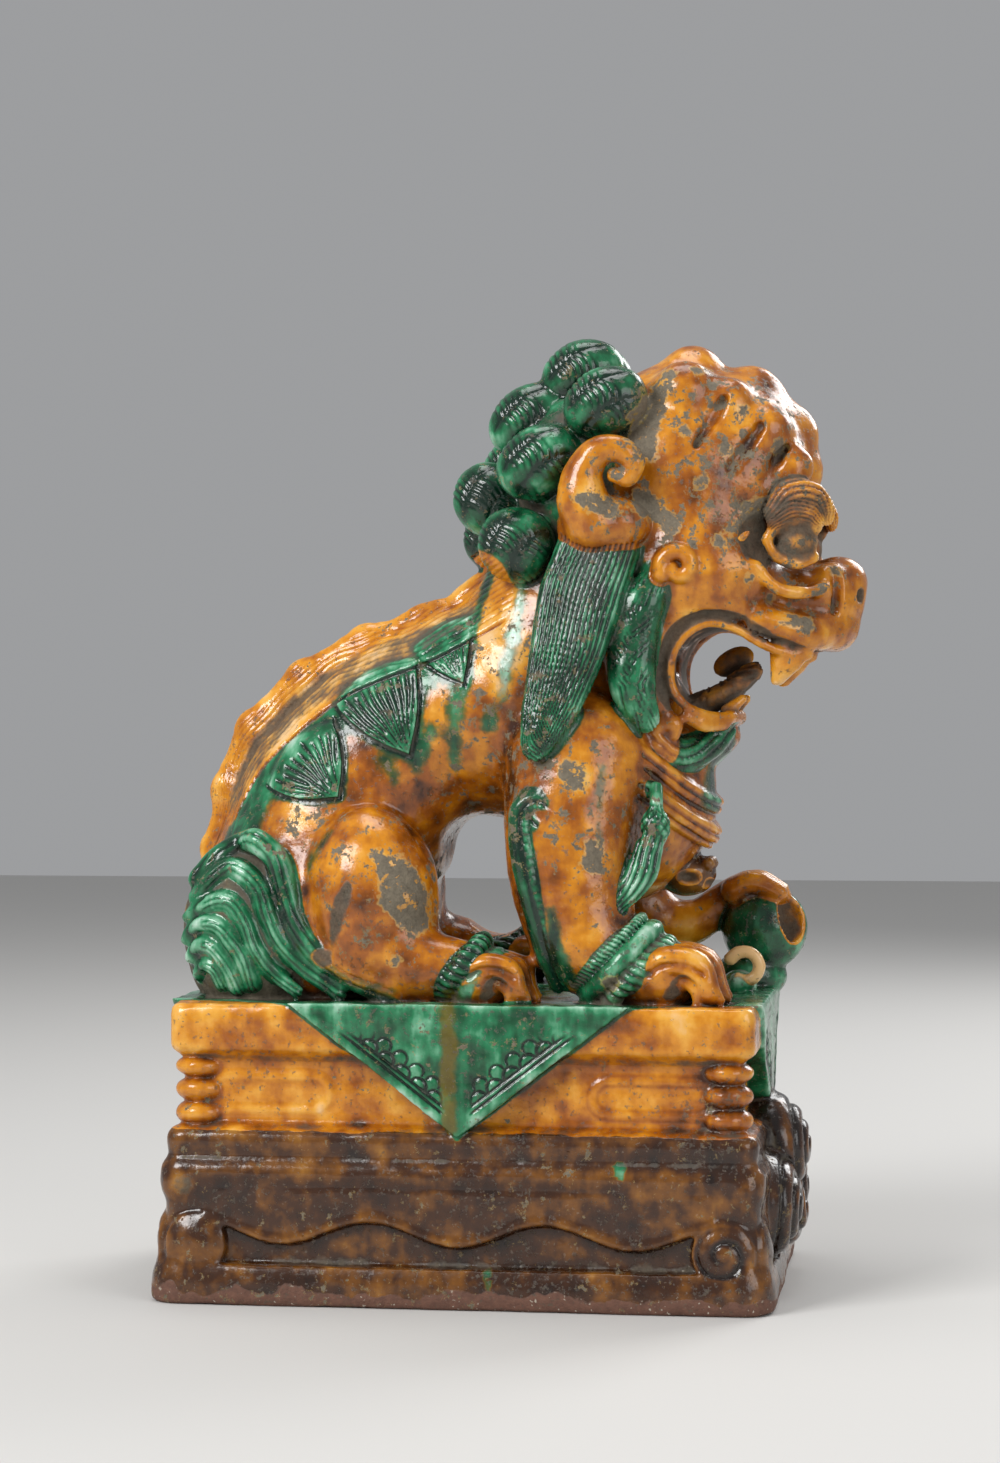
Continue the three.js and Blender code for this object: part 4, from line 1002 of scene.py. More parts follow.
def apron(clay, side):
    # a waved lip over a long hollow, between scrolled feet
    out, half, waves = side["out"], side["length"] / 2 - 13, side["waves"]

    def waveHeight(u):
        return 32 - 5 * np.cos(u / half * waves * np.pi) * (1 if waves % 2 else -1)

    def lip(u, v, z):
        body = np.maximum(waveHeight(u) - z, z - 50)
        proud = 3.8 + 0.8 * np.exp(-((z - waveHeight(u) - 1.2) / 1.6) ** 2)
        return np.maximum(np.maximum(body, v - out - proud), np.maximum(out - 4 - v, np.abs(u) - half + 4))

    def hollow(u, v, z):
        inside = np.maximum(z - waveHeight(u) + 0.5, 17.5 - z)
        return np.maximum(np.maximum(inside, np.abs(u) - half + 10), out - 1.2 - v)

    clay.cut(onSide(side, (-half, out - 2, 16), (half, out + 10, 40), hollow), 1.5)
    clay.add(onSide(side, (-half, out - 4, 24), (half, out + 8, 52), lip), 2.5, "treacle")
    for end in (-1, 1):
        def foot(u, v, z, end=end):
            du, dz = (u - end * half) / 13.5, (z - 26) / 13
            lump = (np.sqrt(du * du + dz * dz) - 1) * 13
            dome = 7.5 - 3.5 * np.clip(du * du + dz * dz, 0, 1.4)
            return np.maximum(np.maximum(lump, v - out - dome), out - 4 - v)

        def scrolled(u, v, z, end=end):
            du, dz = (u - end * half) / 13.5, (z - 26) / 13
            reach = np.hypot(du, dz)
            turns = groove(reach * 1.7 + np.arctan2(dz, du * end) / (2 * np.pi))
            return -1.8 * turns * smooth((reach - 0.15) * 6) * smooth((1.0 - reach) * 5)

        clay.add(onSide(side, (end * half - 15, out - 4, 12), (end * half + 15, out + 9, 40), foot,
                        scrolled if end > 0 else None), 3, "treacle")


def cornerBeads(clay):
    inset = 12
    for sx in (-1, 1):
        for sy in (-1, 1):
            x, y = sx * (plinth["tableLength"] / 2 - inset), sy * (plinth["tableDepth"] / 2 - inset)
            for z, r in ((82, 6.2), (92.5, 6.2), (102.5, 5.4)):
                clay.add(egg((x, y, z), (11.2, 11.2, r)), 1.2)
            clay.add(egg((x + sx * 8, y + sy * 8, 52), (8.4, 8.4, 8)), 2.5, "treacle")


cloudScroll = {
    "lobes": [(0, 62, 25, 19), (-29, 40, 24, 17), (29, 40, 24, 17), (0, 33, 19, 18)],   # y, z, radius, out
    "turnPitch": 7.5,
    "depth": 2.6,
}


def frontScroll(clay):
    face = plinth["tableLength"] / 2 + 1.5
    for y, z, r, out in cloudScroll["lobes"]:
        def scrolled(p, q, w, y=y, r=r):
            reach = np.hypot(q * r * 1.1, w * r)
            angle = np.arctan2(w, q if y >= 0 else -q) / (2 * np.pi)
            turn = reach / cloudScroll["turnPitch"] + angle
            return -cloudScroll["depth"] * groove(turn) * smooth((reach - 2.5) / 4)

        clay.add(egg((face, y, z), (out, r * 1.1, r), (0, 0, 0), scrolled), 2, "treacle")


def modelPlinth(clay):
    plinthBody(clay)
    cornerBeads(clay)
    for side in sides:
        waistPanels(clay, side)
        apron(clay, side)
        clothPoint(clay, side)
    frontScroll(clay)


# From the grid to a mesh

def walkSurface(clay):
    field, cell = clay.field, clay.cell
    inside = field < 0
    near = [slice(None, -1), slice(1, None)]
    count = np.zeros([n - 1 for n in field.shape], np.uint8)
    corners = [(a, b, c) for a in (0, 1) for b in (0, 1) for c in (0, 1)]
    for a, b, c in corners:
        count += inside[near[a], near[b], near[c]]
    cubes = np.argwhere((count > 0) & (count < 8))
    number = np.full(count.shape, -1, np.int32)
    number[tuple(cubes.T)] = np.arange(len(cubes))
    values = {k: field[tuple((cubes + k).T)] for k in corners}
    total, crossings = np.zeros((len(cubes), 3)), np.zeros(len(cubes))
    for k in corners:
        for axis in range(3):
            if k[axis]:
                continue
            other = tuple(v + (i == axis) for i, v in enumerate(k))
            a, b = values[k], values[other]
            crosses = (a < 0) != (b < 0)
            t = np.where(crosses, a / np.where(crosses, a - b, 1), 0)
            for i in range(3):
                total[:, i] += np.where(crosses, k[i] + (t if i == axis else 0), 0)
            crossings += crosses
    points = (cubes + total / crossings[:, None]) * cell + np.array([axis[0] for axis in clay.axes])
    faces = []
    for axis in range(3):
        u, v = (axis + 1) % 3, (axis + 2) % 3
        here, there = [slice(1, -1)] * 3, [slice(1, -1)] * 3
        here[axis], there[axis] = slice(0, -1), slice(1, None)
        a, b = inside[tuple(here)], inside[tuple(there)]
        starts = np.ones(3, int)
        starts[axis] = 0
        for outward in (True, False):
            at = np.argwhere(a & ~b if outward else ~a & b) + starts
            ring = []
            for du, dv in ((-1, -1), (0, -1), (0, 0), (-1, 0)):
                cube = at.copy()
                cube[:, u] += du
                cube[:, v] += dv
                ring.append(number[tuple(cube.T)])
            quad = np.stack(ring if outward else ring[::-1], axis=1)
            faces.append(quad)
    return points, np.concatenate(faces)


def gathered(index, values, count):
    # the sum of the rows of values that fall to each index
    return np.stack([np.bincount(index, weights=column, minlength=count) for column in values.T], axis=1)


def subdivided(points, faces):
    # each quad becomes four, and the surface is rounded as Catmull and Clark do it
    count = len(points)
    ends = np.stack([faces, np.roll(faces, -1, axis=1)], axis=2).reshape(-1, 2).astype(np.int64)
    keys, edge = np.unique(ends.min(axis=1) * count + ends.max(axis=1), return_inverse=True)
    first, second = keys // count, keys % count
    centres = points[faces].mean(axis=1)
    beside = gathered(edge, np.repeat(centres, 4, axis=0), len(keys)) / np.bincount(edge)[:, None]
    middles = (points[first] + points[second]) / 2
    atCorner = faces.ravel()
    valence = np.bincount(atCorner, minlength=count)[:, None]
    aroundFaces = gathered(atCorner, np.repeat(centres, 4, axis=0), count) / valence
    edgeCount = np.bincount(first, minlength=count) + np.bincount(second, minlength=count)
    aroundEdges = (gathered(first, middles, count) + gathered(second, middles, count)) / edgeCount[:, None]
    moved = (aroundFaces + 2 * aroundEdges + (valence - 3) * points) / valence
    edge = edge.reshape(-1, 4) + count
    centre = np.arange(len(faces)) + count + len(keys)
    quads = [np.stack([faces[:, i], edge[:, i], centre, edge[:, i - 1]], axis=1) for i in range(4)]
    return np.concatenate([moved, (middles + beside) / 2, centres]), np.concatenate(quads)


def sample(field, clay, points):
    # the field's value at each point, between its samples
    at = (points - np.array([axis[0] for axis in clay.axes])) / clay.cell
    at = np.clip(at, 0, np.array(field.shape) - 1.001).astype(np.float32)
    base = at.astype(np.int32)
    part = at - base
    found = np.zeros(len(points), np.float32)
    for a in (0, 1):
        for b in (0, 1):
            for c in (0, 1):
                weight = (np.abs(1 - a - part[:, 0]) * np.abs(1 - b - part[:, 1]) * np.abs(1 - c - part[:,
                                                                                                        2]))
                found += weight * field[base[:, 0] + a, base[:, 1] + b, base[:, 2] + c]
    return found


def latticeNoise(points, size, seed):
    # smooth noise from -1 to 1, with lumps about as wide as size
    table = np.random.default_rng(seed).uniform(-1, 1, (32, 32, 32))
    at = points / size + 1000
    base = np.floor(at).astype(np.int32)
    t = (at - base).astype(np.float32)
    t = t * t * (3 - 2 * t)
    found = np.zeros(len(points), np.float32)
    for a in (0, 1):
        for b in (0, 1):
            for c in (0, 1):
                weight = np.abs(1 - a - t[:, 0]) * np.abs(1 - b - t[:, 1]) * np.abs(1 - c - t[:, 2])
                found += weight * table[(base[:, 0] + a) % 32, (base[:, 1] + b) % 32, (base[:, 2] + c) % 32]
    return found


def boxBlur(field, reach):
    # mean over a cube of cells, done along each axis in turn
    for axis in range(3):
        field = np.moveaxis(field, axis, 0)
        padded = np.pad(field, [(reach + 1, reach)] + [(0, 0)] * 2, mode="edge")
        running = np.cumsum(padded, axis=0, dtype=np.float32)
        field = (running[2 * reach + 1:] - running[:-2 * reach - 1]) / (2 * reach + 1)
        field = np.moveaxis(field, 0, axis)
    return field


def newMesh(name, points, faces):
    mesh = bpy.data.meshes.new(name)
    mesh.vertices.add(len(points))
    mesh.vertices.foreach_set("co", points.astype(np.float32).ravel())
    mesh.loops.add(faces.size)
    mesh.loops.foreach_set("vertex_index", faces.astype(np.int32).ravel())
    mesh.polygons.add(len(faces))
    mesh.polygons.foreach_set("loop_start", np.arange(0, faces.size, faces.shape[1], dtype=np.int32))
    mesh.update(calc_edges=True)
    mesh.validate()
    return mesh


def nearBox(points, form, margin):
    inside = np.ones(len(points), bool)
    for i in range(3):
        inside &= (points[:, i] > form.low[i] - margin) & (points[:, i] < form.high[i] + margin)
    return np.flatnonzero(inside)


def toolMarks(clay, points):
    # how far the marks of the tools lift each point of the surface
    lift = np.zeros(len(points), np.float32)
    for form, _, blend in clay.made:
        if not form.marks:
            continue
        near = nearBox(points, form, 2)
        distance, place = form.measure(*points[near].T, True)
        firm = smooth(0.5 - distance / 2) if form.through else smooth(1.6 + blend * 0.2 - np.abs(distance))
        lift[near] = lift[near] * (1 - firm) + form.marks(*place) * firm
    return lift


def thinned(mesh, triangles):
    # the mesh with fewer triangles, most of them left where it is carved
    holder = bpy.data.objects.new("working", mesh)
    bpy.context.scene.collection.objects.link(holder)
    fewer = holder.modifiers.new("fewer", "DECIMATE")
    fewer.ratio = min(1.0, triangles / (2 * len(mesh.polygons)))
    result = bpy.data.meshes.new_from_object(holder.evaluated_get(bpy.context.evaluated_depsgraph_get()))
    bpy.data.objects.remove(holder)
    return result


def pointsOf(mesh):
    found = np.empty(3 * len(mesh.vertices), np.float32)
    mesh.vertices.foreach_get("co", found)
    return found.reshape(-1, 3)


def normalsOf(mesh):
    found = np.empty(3 * len(mesh.vertices), np.float32)
    mesh.vertex_normals.foreach_get("vector", found)
    return found.reshape(-1, 3)


handWork = [
    # depth and width of the unevenness that hands and the kiln leave, and its seed
    (0.42, 17, 1),
    (0.20, 6.5, 2),
    (0.09, 2.4, 3),
]

print("modelling the clay")
clay = Clay()
modelLion(clay)
lionForms = len(clay.made)
print("modelling the plinth")
modelPlinth(clay)

print("walking the surface")
points, faces = subdivided(*walkSurface(clay))
fine = newMesh("clay", points * metre, faces)
points, normals = pointsOf(fine) / metre, normalsOf(fine)
print("tooling", len(points), "points")
lift = toolMarks(clay, points) * (1 + 0.25 * latticeNoise(points, 8, 4))
for depth, width, seed in handWork:
    lift += depth * latticeNoise(points, width, seed)
points += normals * lift[:, None]
points[:, 2] = np.maximum(points[:, 2], 0)
fine.vertices.foreach_set("co", (points * metre).astype(np.float32).ravel())
fine.update()
fired = thinned(fine, modelling["triangles"])
points, normals = pointsOf(fired) / metre, normalsOf(fired)
print("fired with", len(fired.polygons), "faces")


# Glazing

class Glazer:
    # how much of each glaze lies on each point of the surface
    def __init__(self, points):
        self.points = points
        self.amounts = {name: np.zeros(len(points), np.float32) for name in channels}

    def blend(self, near, weight, amounts):
        for name, amount in amounts.items():
            values = self.amounts[name]
            values[near] += (amount - values[near]) * weight

    def dip(self, form, glaze, blend, lowest):
        # covers a form with one of the glazes, and nothing else beside it
        near = nearBox(self.points, form, 3)
        near = near[self.points[near, 2] > lowest]
        distance, _ = form.measure(*self.points[near].T)
        weight = smooth((1.9 + 0.3 * blend - np.abs(distance)) / 1.6)
        self.blend(near, weight, {name: glazes[glaze].get(name, 0) for name in channels})

    def brush(self, form, soft=3.0, **amounts):
        # half way at the form's border, all the way one soft inside it
        near = nearBox(self.points, form, soft)
        distance, _ = form.measure(*self.points[near].T)
        self.blend(near, smooth(0.5 - distance / (2 * soft)), amounts)


def glazePlinth(glazer):
    x, y, z = glazer.points.T
    everywhere = np.arange(len(x))
    ragged = 2.2 * latticeNoise(glazer.points, 14, 21) + 1.2 * latticeNoise(glazer.points, 5, 22)
    base = smooth((76.5 + 0.3 * ragged - z) / 2)
    glazer.blend(everywhere, base, {"treacle": 1.0})
    rim = smooth(0.5 + (6.5 + 1.8 * ragged - z) / 6)
    glazer.blend(everywhere, rim, {"clay": 1.0})
    ledge = line(z, 19, 5) * smooth(0.4 + 0.25 * ragged)
    glazer.blend(everywhere, ledge, {"clay": 0.62, "dirt": 0.5})
    glazer.blend(everywhere, smooth((z - 77) / 3) * (z < tableTop), {"pale": 0.3})
    # the cloth lies cornerwise over the table, and the corners that it leaves are amber
    beyond = (np.abs(x) - 74) / 54.5 + (np.abs(y) - 69) / 17 - 1
    onTop = smooth((z - tableTop + 3.0) / 2.5) * (z < tableTop + 6)
    glazer.blend(everywhere, onTop * smooth(0.5 - beyond * 5), {"green": 1.0, "pale": 0.42})
    # painted shade and grime along the ledges and under the slab
    for height, width, amount in ((76, 3, 0.55), (107, 3.5, 0.6), (129.5, 2.0, 0.35), (63.5, 2, 0.5)):
        grimeAndShade = line(z, height, width) * np.clip(0.75 + 0.5 * latticeNoise(glazer.points, 11, 23), 0, 1)
        grimeAndShade = grimeAndShade * (z < tableTop + 1)
        glazer.amounts["dirt"] = np.maximum(glazer.amounts["dirt"], (amount * grimeAndShade).astype(np.float32))


def glazeLion(glazer):
    # the green that runs down the flank between crest and fans, on both sides
    for side in (-1, 1):
        flank = [(-108, 196, 9), (-101, 222, 11), (-86, 243, 12), (-66, 258, 13), (-44, 268, 13),
                 (-22, 280, 12), (-5, 297, 9)]
        glazer.brush(smear(flank, side), 6, green=1, pale=0.25)
        for fan in fanWork["fans"]:
            glazer.brush(fanOnFlank(fan), 3, green=1, pale=0.3)
            # a painted highlight: a pale patch in the middle of each fan
            middle = math.radians((fan["start"] + fan["end"]) / 2)
            highlightX = fan["foot"][0] + 0.6 * fan["reach"] * math.cos(middle)
            highlightZ = fan["foot"][1] + 0.6 * fan["reach"] * math.sin(middle)
            glazer.brush(smear([(highlightX, highlightZ, fan["reach"] * 0.22)], side), 8, pale=1.0)
        glazer.brush(crestBand(side), 2.0, green=0, pale=0.35)
        glazer.brush(smear([(-115, 218, 5), (-105, 238, 8), (-90, 256, 8), (-70, 271, 8), (-46, 283, 8),
                            (-22, 293, 7), (-4, 304, 5)], side), 4, dirt=0.62, pale=0.7)
        # pale runs on the neck that end in green, and drips below the fans
        glazer.brush(smear([(22, 314, 3), (19, 292, 4.0), (15, 266, 3)], side), 5, green=0.75, pale=1.0)
        glazer.brush(smear([(10, 258, 3), (9, 253, 4)], side), 4, green=0.9, pale=0.1)
        glazer.brush(smear([(-4, 274, 6), (-7, 256, 4), (-8, 234, 2.5)], side), 5, green=0.85, pale=0.15)
        glazer.brush(smear([(-18, 250, 4), (-23, 240, 4), (-25, 232, 2)], side), 5, green=0.85, pale=0.2)
        glazer.brush(smear([(-38, 238, 5), (-34, 228, 3)], side), 5, green=0.7, pale=0.3)
        glazer.brush(smear([(5, 322, 4), (2, 308, 3), (-1, 290, 3)], side), 4, green=0.85, pale=0.1)
        glazer.brush(smear([(61, 234, 2), (60, 218, 2.6), (60, 202, 1.5)], side), 4, green=0.65, pale=0.1,
                     olive=0.4)
        glazer.brush(smear([(39, 172, 2), (41, 158, 4), (44, 143, 6)], side), 5, green=0.9, pale=0.1)
        glazer.brush(smear([(112, 240, 7), (108, 228, 6), (106, 217, 4)], side), 4, green=0.95, pale=0.0)
        glazer.brush(smear([(-66, 150, 3), (-50, 141, 3), (-30, 136, 3)], side), 3, green=0.5, olive=0.3)
        glazer.brush(smear([(-70, 185, 2), (-67, 196, 3), (-60, 206, 2)], side), 4, green=0.6, pale=0.2)
        # painted highlights: pale patches on the shoulder, the neck and the haunch
        for x, z, r, amount in ((10, 285, 15, 0.75), (-12, 262, 9, 0.5), (-52, 190, 10, 0.45),
                                (52, 232, 10, 0.6),
                                (-75, 213, 10, 0.55), (-3, 148, 9, 0.45), (88, 400, 12, 0.3),
                                (58, 158, 8, 0.5),
                                (126, 395, 9, 0.3), (60, 350, 8, 0.4), (30, 345, 8, 0.3)):
            near = nearBox(glazer.points, smear([(x, z, r)], side), 4)
            distance, _ = smear([(x, z, r)], side).measure(*glazer.points[near].T)
            weight = smooth(0.5 - distance / 16)
            pale = glazer.amounts["pale"]
            pale[near] += weight * amount * (1 - glazer.amounts["green"][near]) * (1 - pale[near])
    # glaze that has flaked off, most of it on the near side
    flaked = [
        [(-37, 195, 3), (-30, 188, 7), (-25, 176, 9), (-20, 166, 5)], [(-30, 150, 2)],
        [(63, 348, 4)], [(53, 352, 3)], [(78, 352, 5), (84, 346, 4)],
        [(86, 408, 3), (82, 396, 5), (77, 382, 6), (80, 372, 3)],
        [(101, 411, 2)], [(95, 383, 2)], [(117, 339, 1.5), (126, 349, 2.5), (134, 357, 1.5)], [(112, 333, 2)],
        [(133, 310, 1.5)], [(140, 300, 2), (148, 297, 2.5)], [(51, 228, 4)], [(46, 234, 3)],
        [(58, 199, 3), (57, 193, 4)],
        [(120, 392, 1.5)], [(136, 377, 2)], [(90, 340, 2)], [(124, 318, 1.5)], [(104, 360, 3)],
        [(114, 374, 2)],
        [(-78, 216, 2)], [(66, 140, 3)], [(160, 322, 2)],
    ]
    for patch in flaked:
        glazer.brush(smear(patch, -1), 9.0, bare=1)
    farSide = [
        [(-50, 200, 5), (-46, 190, 6)], [(70, 340, 4)], [(100, 380, 3), (108, 374, 4)], [(45, 240, 5)],
        [(128, 330, 3)], [(-20, 262, 4)], [(66, 352, 3)], [(58, 200, 4)],
    ]
    for patch in farSide:
        glazer.brush(smear(patch, 1), 9.0, bare=1)
    # the head's glaze is worn in many small flakes, the back's in fewer
    for x, z, r, amount in ((108, 368, 44, 1.0), (74, 355, 22, 0.9), (140, 315, 26, 0.75), (15, 290, 22, 0.6),
                            (60, 210, 28, 0.65), (-40, 178, 34, 0.55), (-75, 213, 14, 1.2),
                            (20, 240, 40, 0.7)):
        distance = np.hypot(glazer.points[:, 0] - x, glazer.points[:, 2] - z) - r
        worn = glazer.amounts["worn"]
        np.maximum(worn, amount * smooth(0.5 - distance / 24), out=worn)


print("glazing")
# the forms are measured from where the surface was before it was tooled
smoothed = points - normals * sample(clay.field, clay, points)[:, None]
glazer = Glazer(smoothed)
glazePlinth(glazer)
for form, glaze, blend in clay.made[:lionForms]:
    if glaze:
        glazer.dip(form, glaze, blend, tableTop - 1)
for form, glaze, blend in clay.made[lionForms:]:
    glazer.dip(form, glaze, blend, 0)
glazeLion(glazer)
# an olive brown run down the middle of the near cloth, and drips of green on the base
glazer.brush(smear([(-5, 134, 4), (-3, 115, 4.5), (-4, 95, 4), (-3, 78, 4)], -1), 4, olive=0.75, pale=0.1)
glazer.brush(smear([(71, 62, 3), (71, 57, 1.5)], -1), 2, green=1, pale=0.5)
glazer.brush(smear([(14, 16, 2.5), (15, 9, 1.5)], -1), 2, green=0.8, pale=0.3)
glazer.brush(smear([(-121, 52, 5)], -1), 2, dirt=0.9, pale=0.6)

# how deep in a hollow each point lies: the glaze pools darker there, and painted shade is laid there with the
# dirt
wide = boxBlur(np.clip(clay.field, -6, 6), 3)
glazer.amounts["hollow"] = -sample(wide, clay, points) / 2.2
# how high on a ridge or tool mark each point lies: the glaze thins paler there, partly as painted highlight
narrow = boxBlur(np.clip(clay.field, -3, 3), 1)
marked = toolMarks(clay, smoothed)
glazer.amounts["ridge"] = (sample(narrow, clay, points) / 1.2 + marked * 0.7).astype(np.float32)


# The lion is made in pieces, one above another, that meet edge to edge
material = bpy.data.materials.new("sancaiGlaze")
fired.calc_loop_triangles()
corners = np.empty(3 * len(fired.loop_triangles), np.int32)
fired.loop_triangles.foreach_get("vertices", corners)
corners = corners.reshape(-1, 3)
middles = points[corners, 2].mean(axis=1)
borders = np.quantile(middles, np.linspace(0, 1, modelling["pieces"] + 1))
borders[-1] += 1
for i in range(modelling["pieces"]):
    inPiece = corners[(middles >= borders[i]) & (middles < borders[i + 1])]
    used, local = np.unique(inPiece, return_inverse=True)
    mesh = newMesh(f"glazedLion{i + 1}", points[used] * metre, local.reshape(-1, 3))
    for name, values in glazer.amounts.items():
        layer = mesh.attributes.new(name, "FLOAT", "POINT")
        layer.data.foreach_set("value", values[used].astype(np.float32))
    mesh.normals_split_custom_set_from_vertices(normals[used])
    mesh.materials.append(material)
    piece = bpy.data.objects.new(f"glazedLion{i + 1}", mesh)
    bpy.context.scene.collection.objects.link(piece)
    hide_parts(nodeName)
    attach(piece, "root")
    print("piece", i + 1, len(mesh.polygons), "triangles")


# The glaze's colours and finish

class Nodes:
    # short names for the nodes that the glaze is mixed from; sizes are in millimetres
    def __init__(self, material):
        material.use_nodes = True
        self.tree = material.node_tree
        self.shader = self.tree.nodes["Principled BSDF"]
        where = self.put("ShaderNodeTexCoord").outputs["Object"]
        scaled = self.put("ShaderNodeVectorMath", {"operation": "SCALE"}, {0: where, "Scale": 1 / metre})
        self.place = scaled.outputs["Vector"]

    def put(self, kind, settings={}, inputs={}):
        node = self.tree.nodes.new(kind)
        for name, value in settings.items():
            setattr(node, name, value)
        for name, value in inputs.items():
            if isinstance(value, bpy.types.NodeSocket):
                self.tree.links.new(value, node.inputs[name])
            else:
                node.inputs[name].default_value = value
        return node

    def noise(self, size, detail=2.0, stretch=(1, 1, 1), shift=0.0, rough=0.5):
        spread = [1 / (size * s) for s in stretch]
        at = self.put("ShaderNodeVectorMath", {"operation": "MULTIPLY_ADD"},
                      {0: self.place, 1: spread, 2: (shift, shift, shift)}).outputs["Vector"]
        return self.put("ShaderNodeTexNoise", {}, {"Vector": at, "Scale": 1.0, "Detail": detail,
                                                   "Roughness": rough}).outputs["Fac"]

    def amount(self, name):
        return self.put("ShaderNodeAttribute", {"attribute_name": name}).outputs["Fac"]

    def calc(self, operation, a, b=0.0, c=0.0):
        return self.put("ShaderNodeMath", {"operation": operation}, {0: a, 1: b, 2: c}).outputs[0]

    def total(self, start, *terms):
        # start plus each value times its share
        for value, share in terms:
            start = self.calc("MULTIPLY_ADD", value, share, start)
        return start

    def step(self, value, low, high):
        return self.put("ShaderNodeMapRange", {"interpolation_type": "SMOOTHSTEP"},
                        {"Value": value, "From Min": low, "From Max": high}).outputs["Result"]

    def ramp(self, value, stops):
        node = self.put("ShaderNodeValToRGB", {}, {"Fac": value})
        elements = node.color_ramp.elements
        while len(elements) < len(stops):
            elements.new(0.5)
        for element, (at, colour) in zip(elements, stops):
            element.position = at
            element.color = (*colour, 1)
        return node.outputs["Color"]

    def mix(self, fac, a, b):
        node = self.put("ShaderNodeMix", {"data_type": "RGBA"}, {"Factor": fac})
        for socket, value in ((node.inputs[6], a), (node.inputs[7], b)):
            if isinstance(value, bpy.types.NodeSocket):
                self.tree.links.new(value, socket)
            else:
                socket.default_value = (*value, 1)
        return node.outputs[2]

    def mixValue(self, fac, a, b):
        return self.put("ShaderNodeMix", {"data_type": "FLOAT"}, {"Factor": fac, "A": a, "B": b}).outputs[0]


glazeColours = {
    # from thin to pooled, as stops along the ramp
    "amber": [(0.0, (0.80, 0.50, 0.22)), (0.2, (0.78, 0.38, 0.05)), (0.42, (0.62, 0.23, 0.008)),
              (0.70, (0.33, 0.088, 0.004)), (1.0, (0.045, 0.012, 0.003))],
    "green": [(0.0, (0.46, 0.66, 0.53)), (0.25, (0.13, 0.38, 0.22)), (0.45, (0.018, 0.19, 0.078)),
              (0.7, (0.006, 0.075, 0.028)), (1.0, (0.002, 0.018, 0.009))],
    "treacle": [(0.0, (0.36, 0.16, 0.02)), (0.3, (0.18, 0.065, 0.007)), (0.6, (0.05, 0.016, 0.004)),
                (1.0, (0.012, 0.005, 0.003))],
    "olive": [(0.0, (0.22, 0.16, 0.012)), (1.0, (0.045, 0.03, 0.004))],
    "clay": [(0.0, (0.06, 0.024, 0.016)), (1.0, (0.20, 0.09, 0.055))],
    "bare": [(0.0, (0.075, 0.062, 0.043)), (1.0, (0.23, 0.19, 0.13))],
    # the colour of grime, also used as painted shade
    "dirt": [(0.0, (0.025, 0.019, 0.012)), (1.0, (0.14, 0.112, 0.075))],
    "paleRim": (0.66, 0.44, 0.13),
    "specks": (0.50, 0.45, 0.36),
}


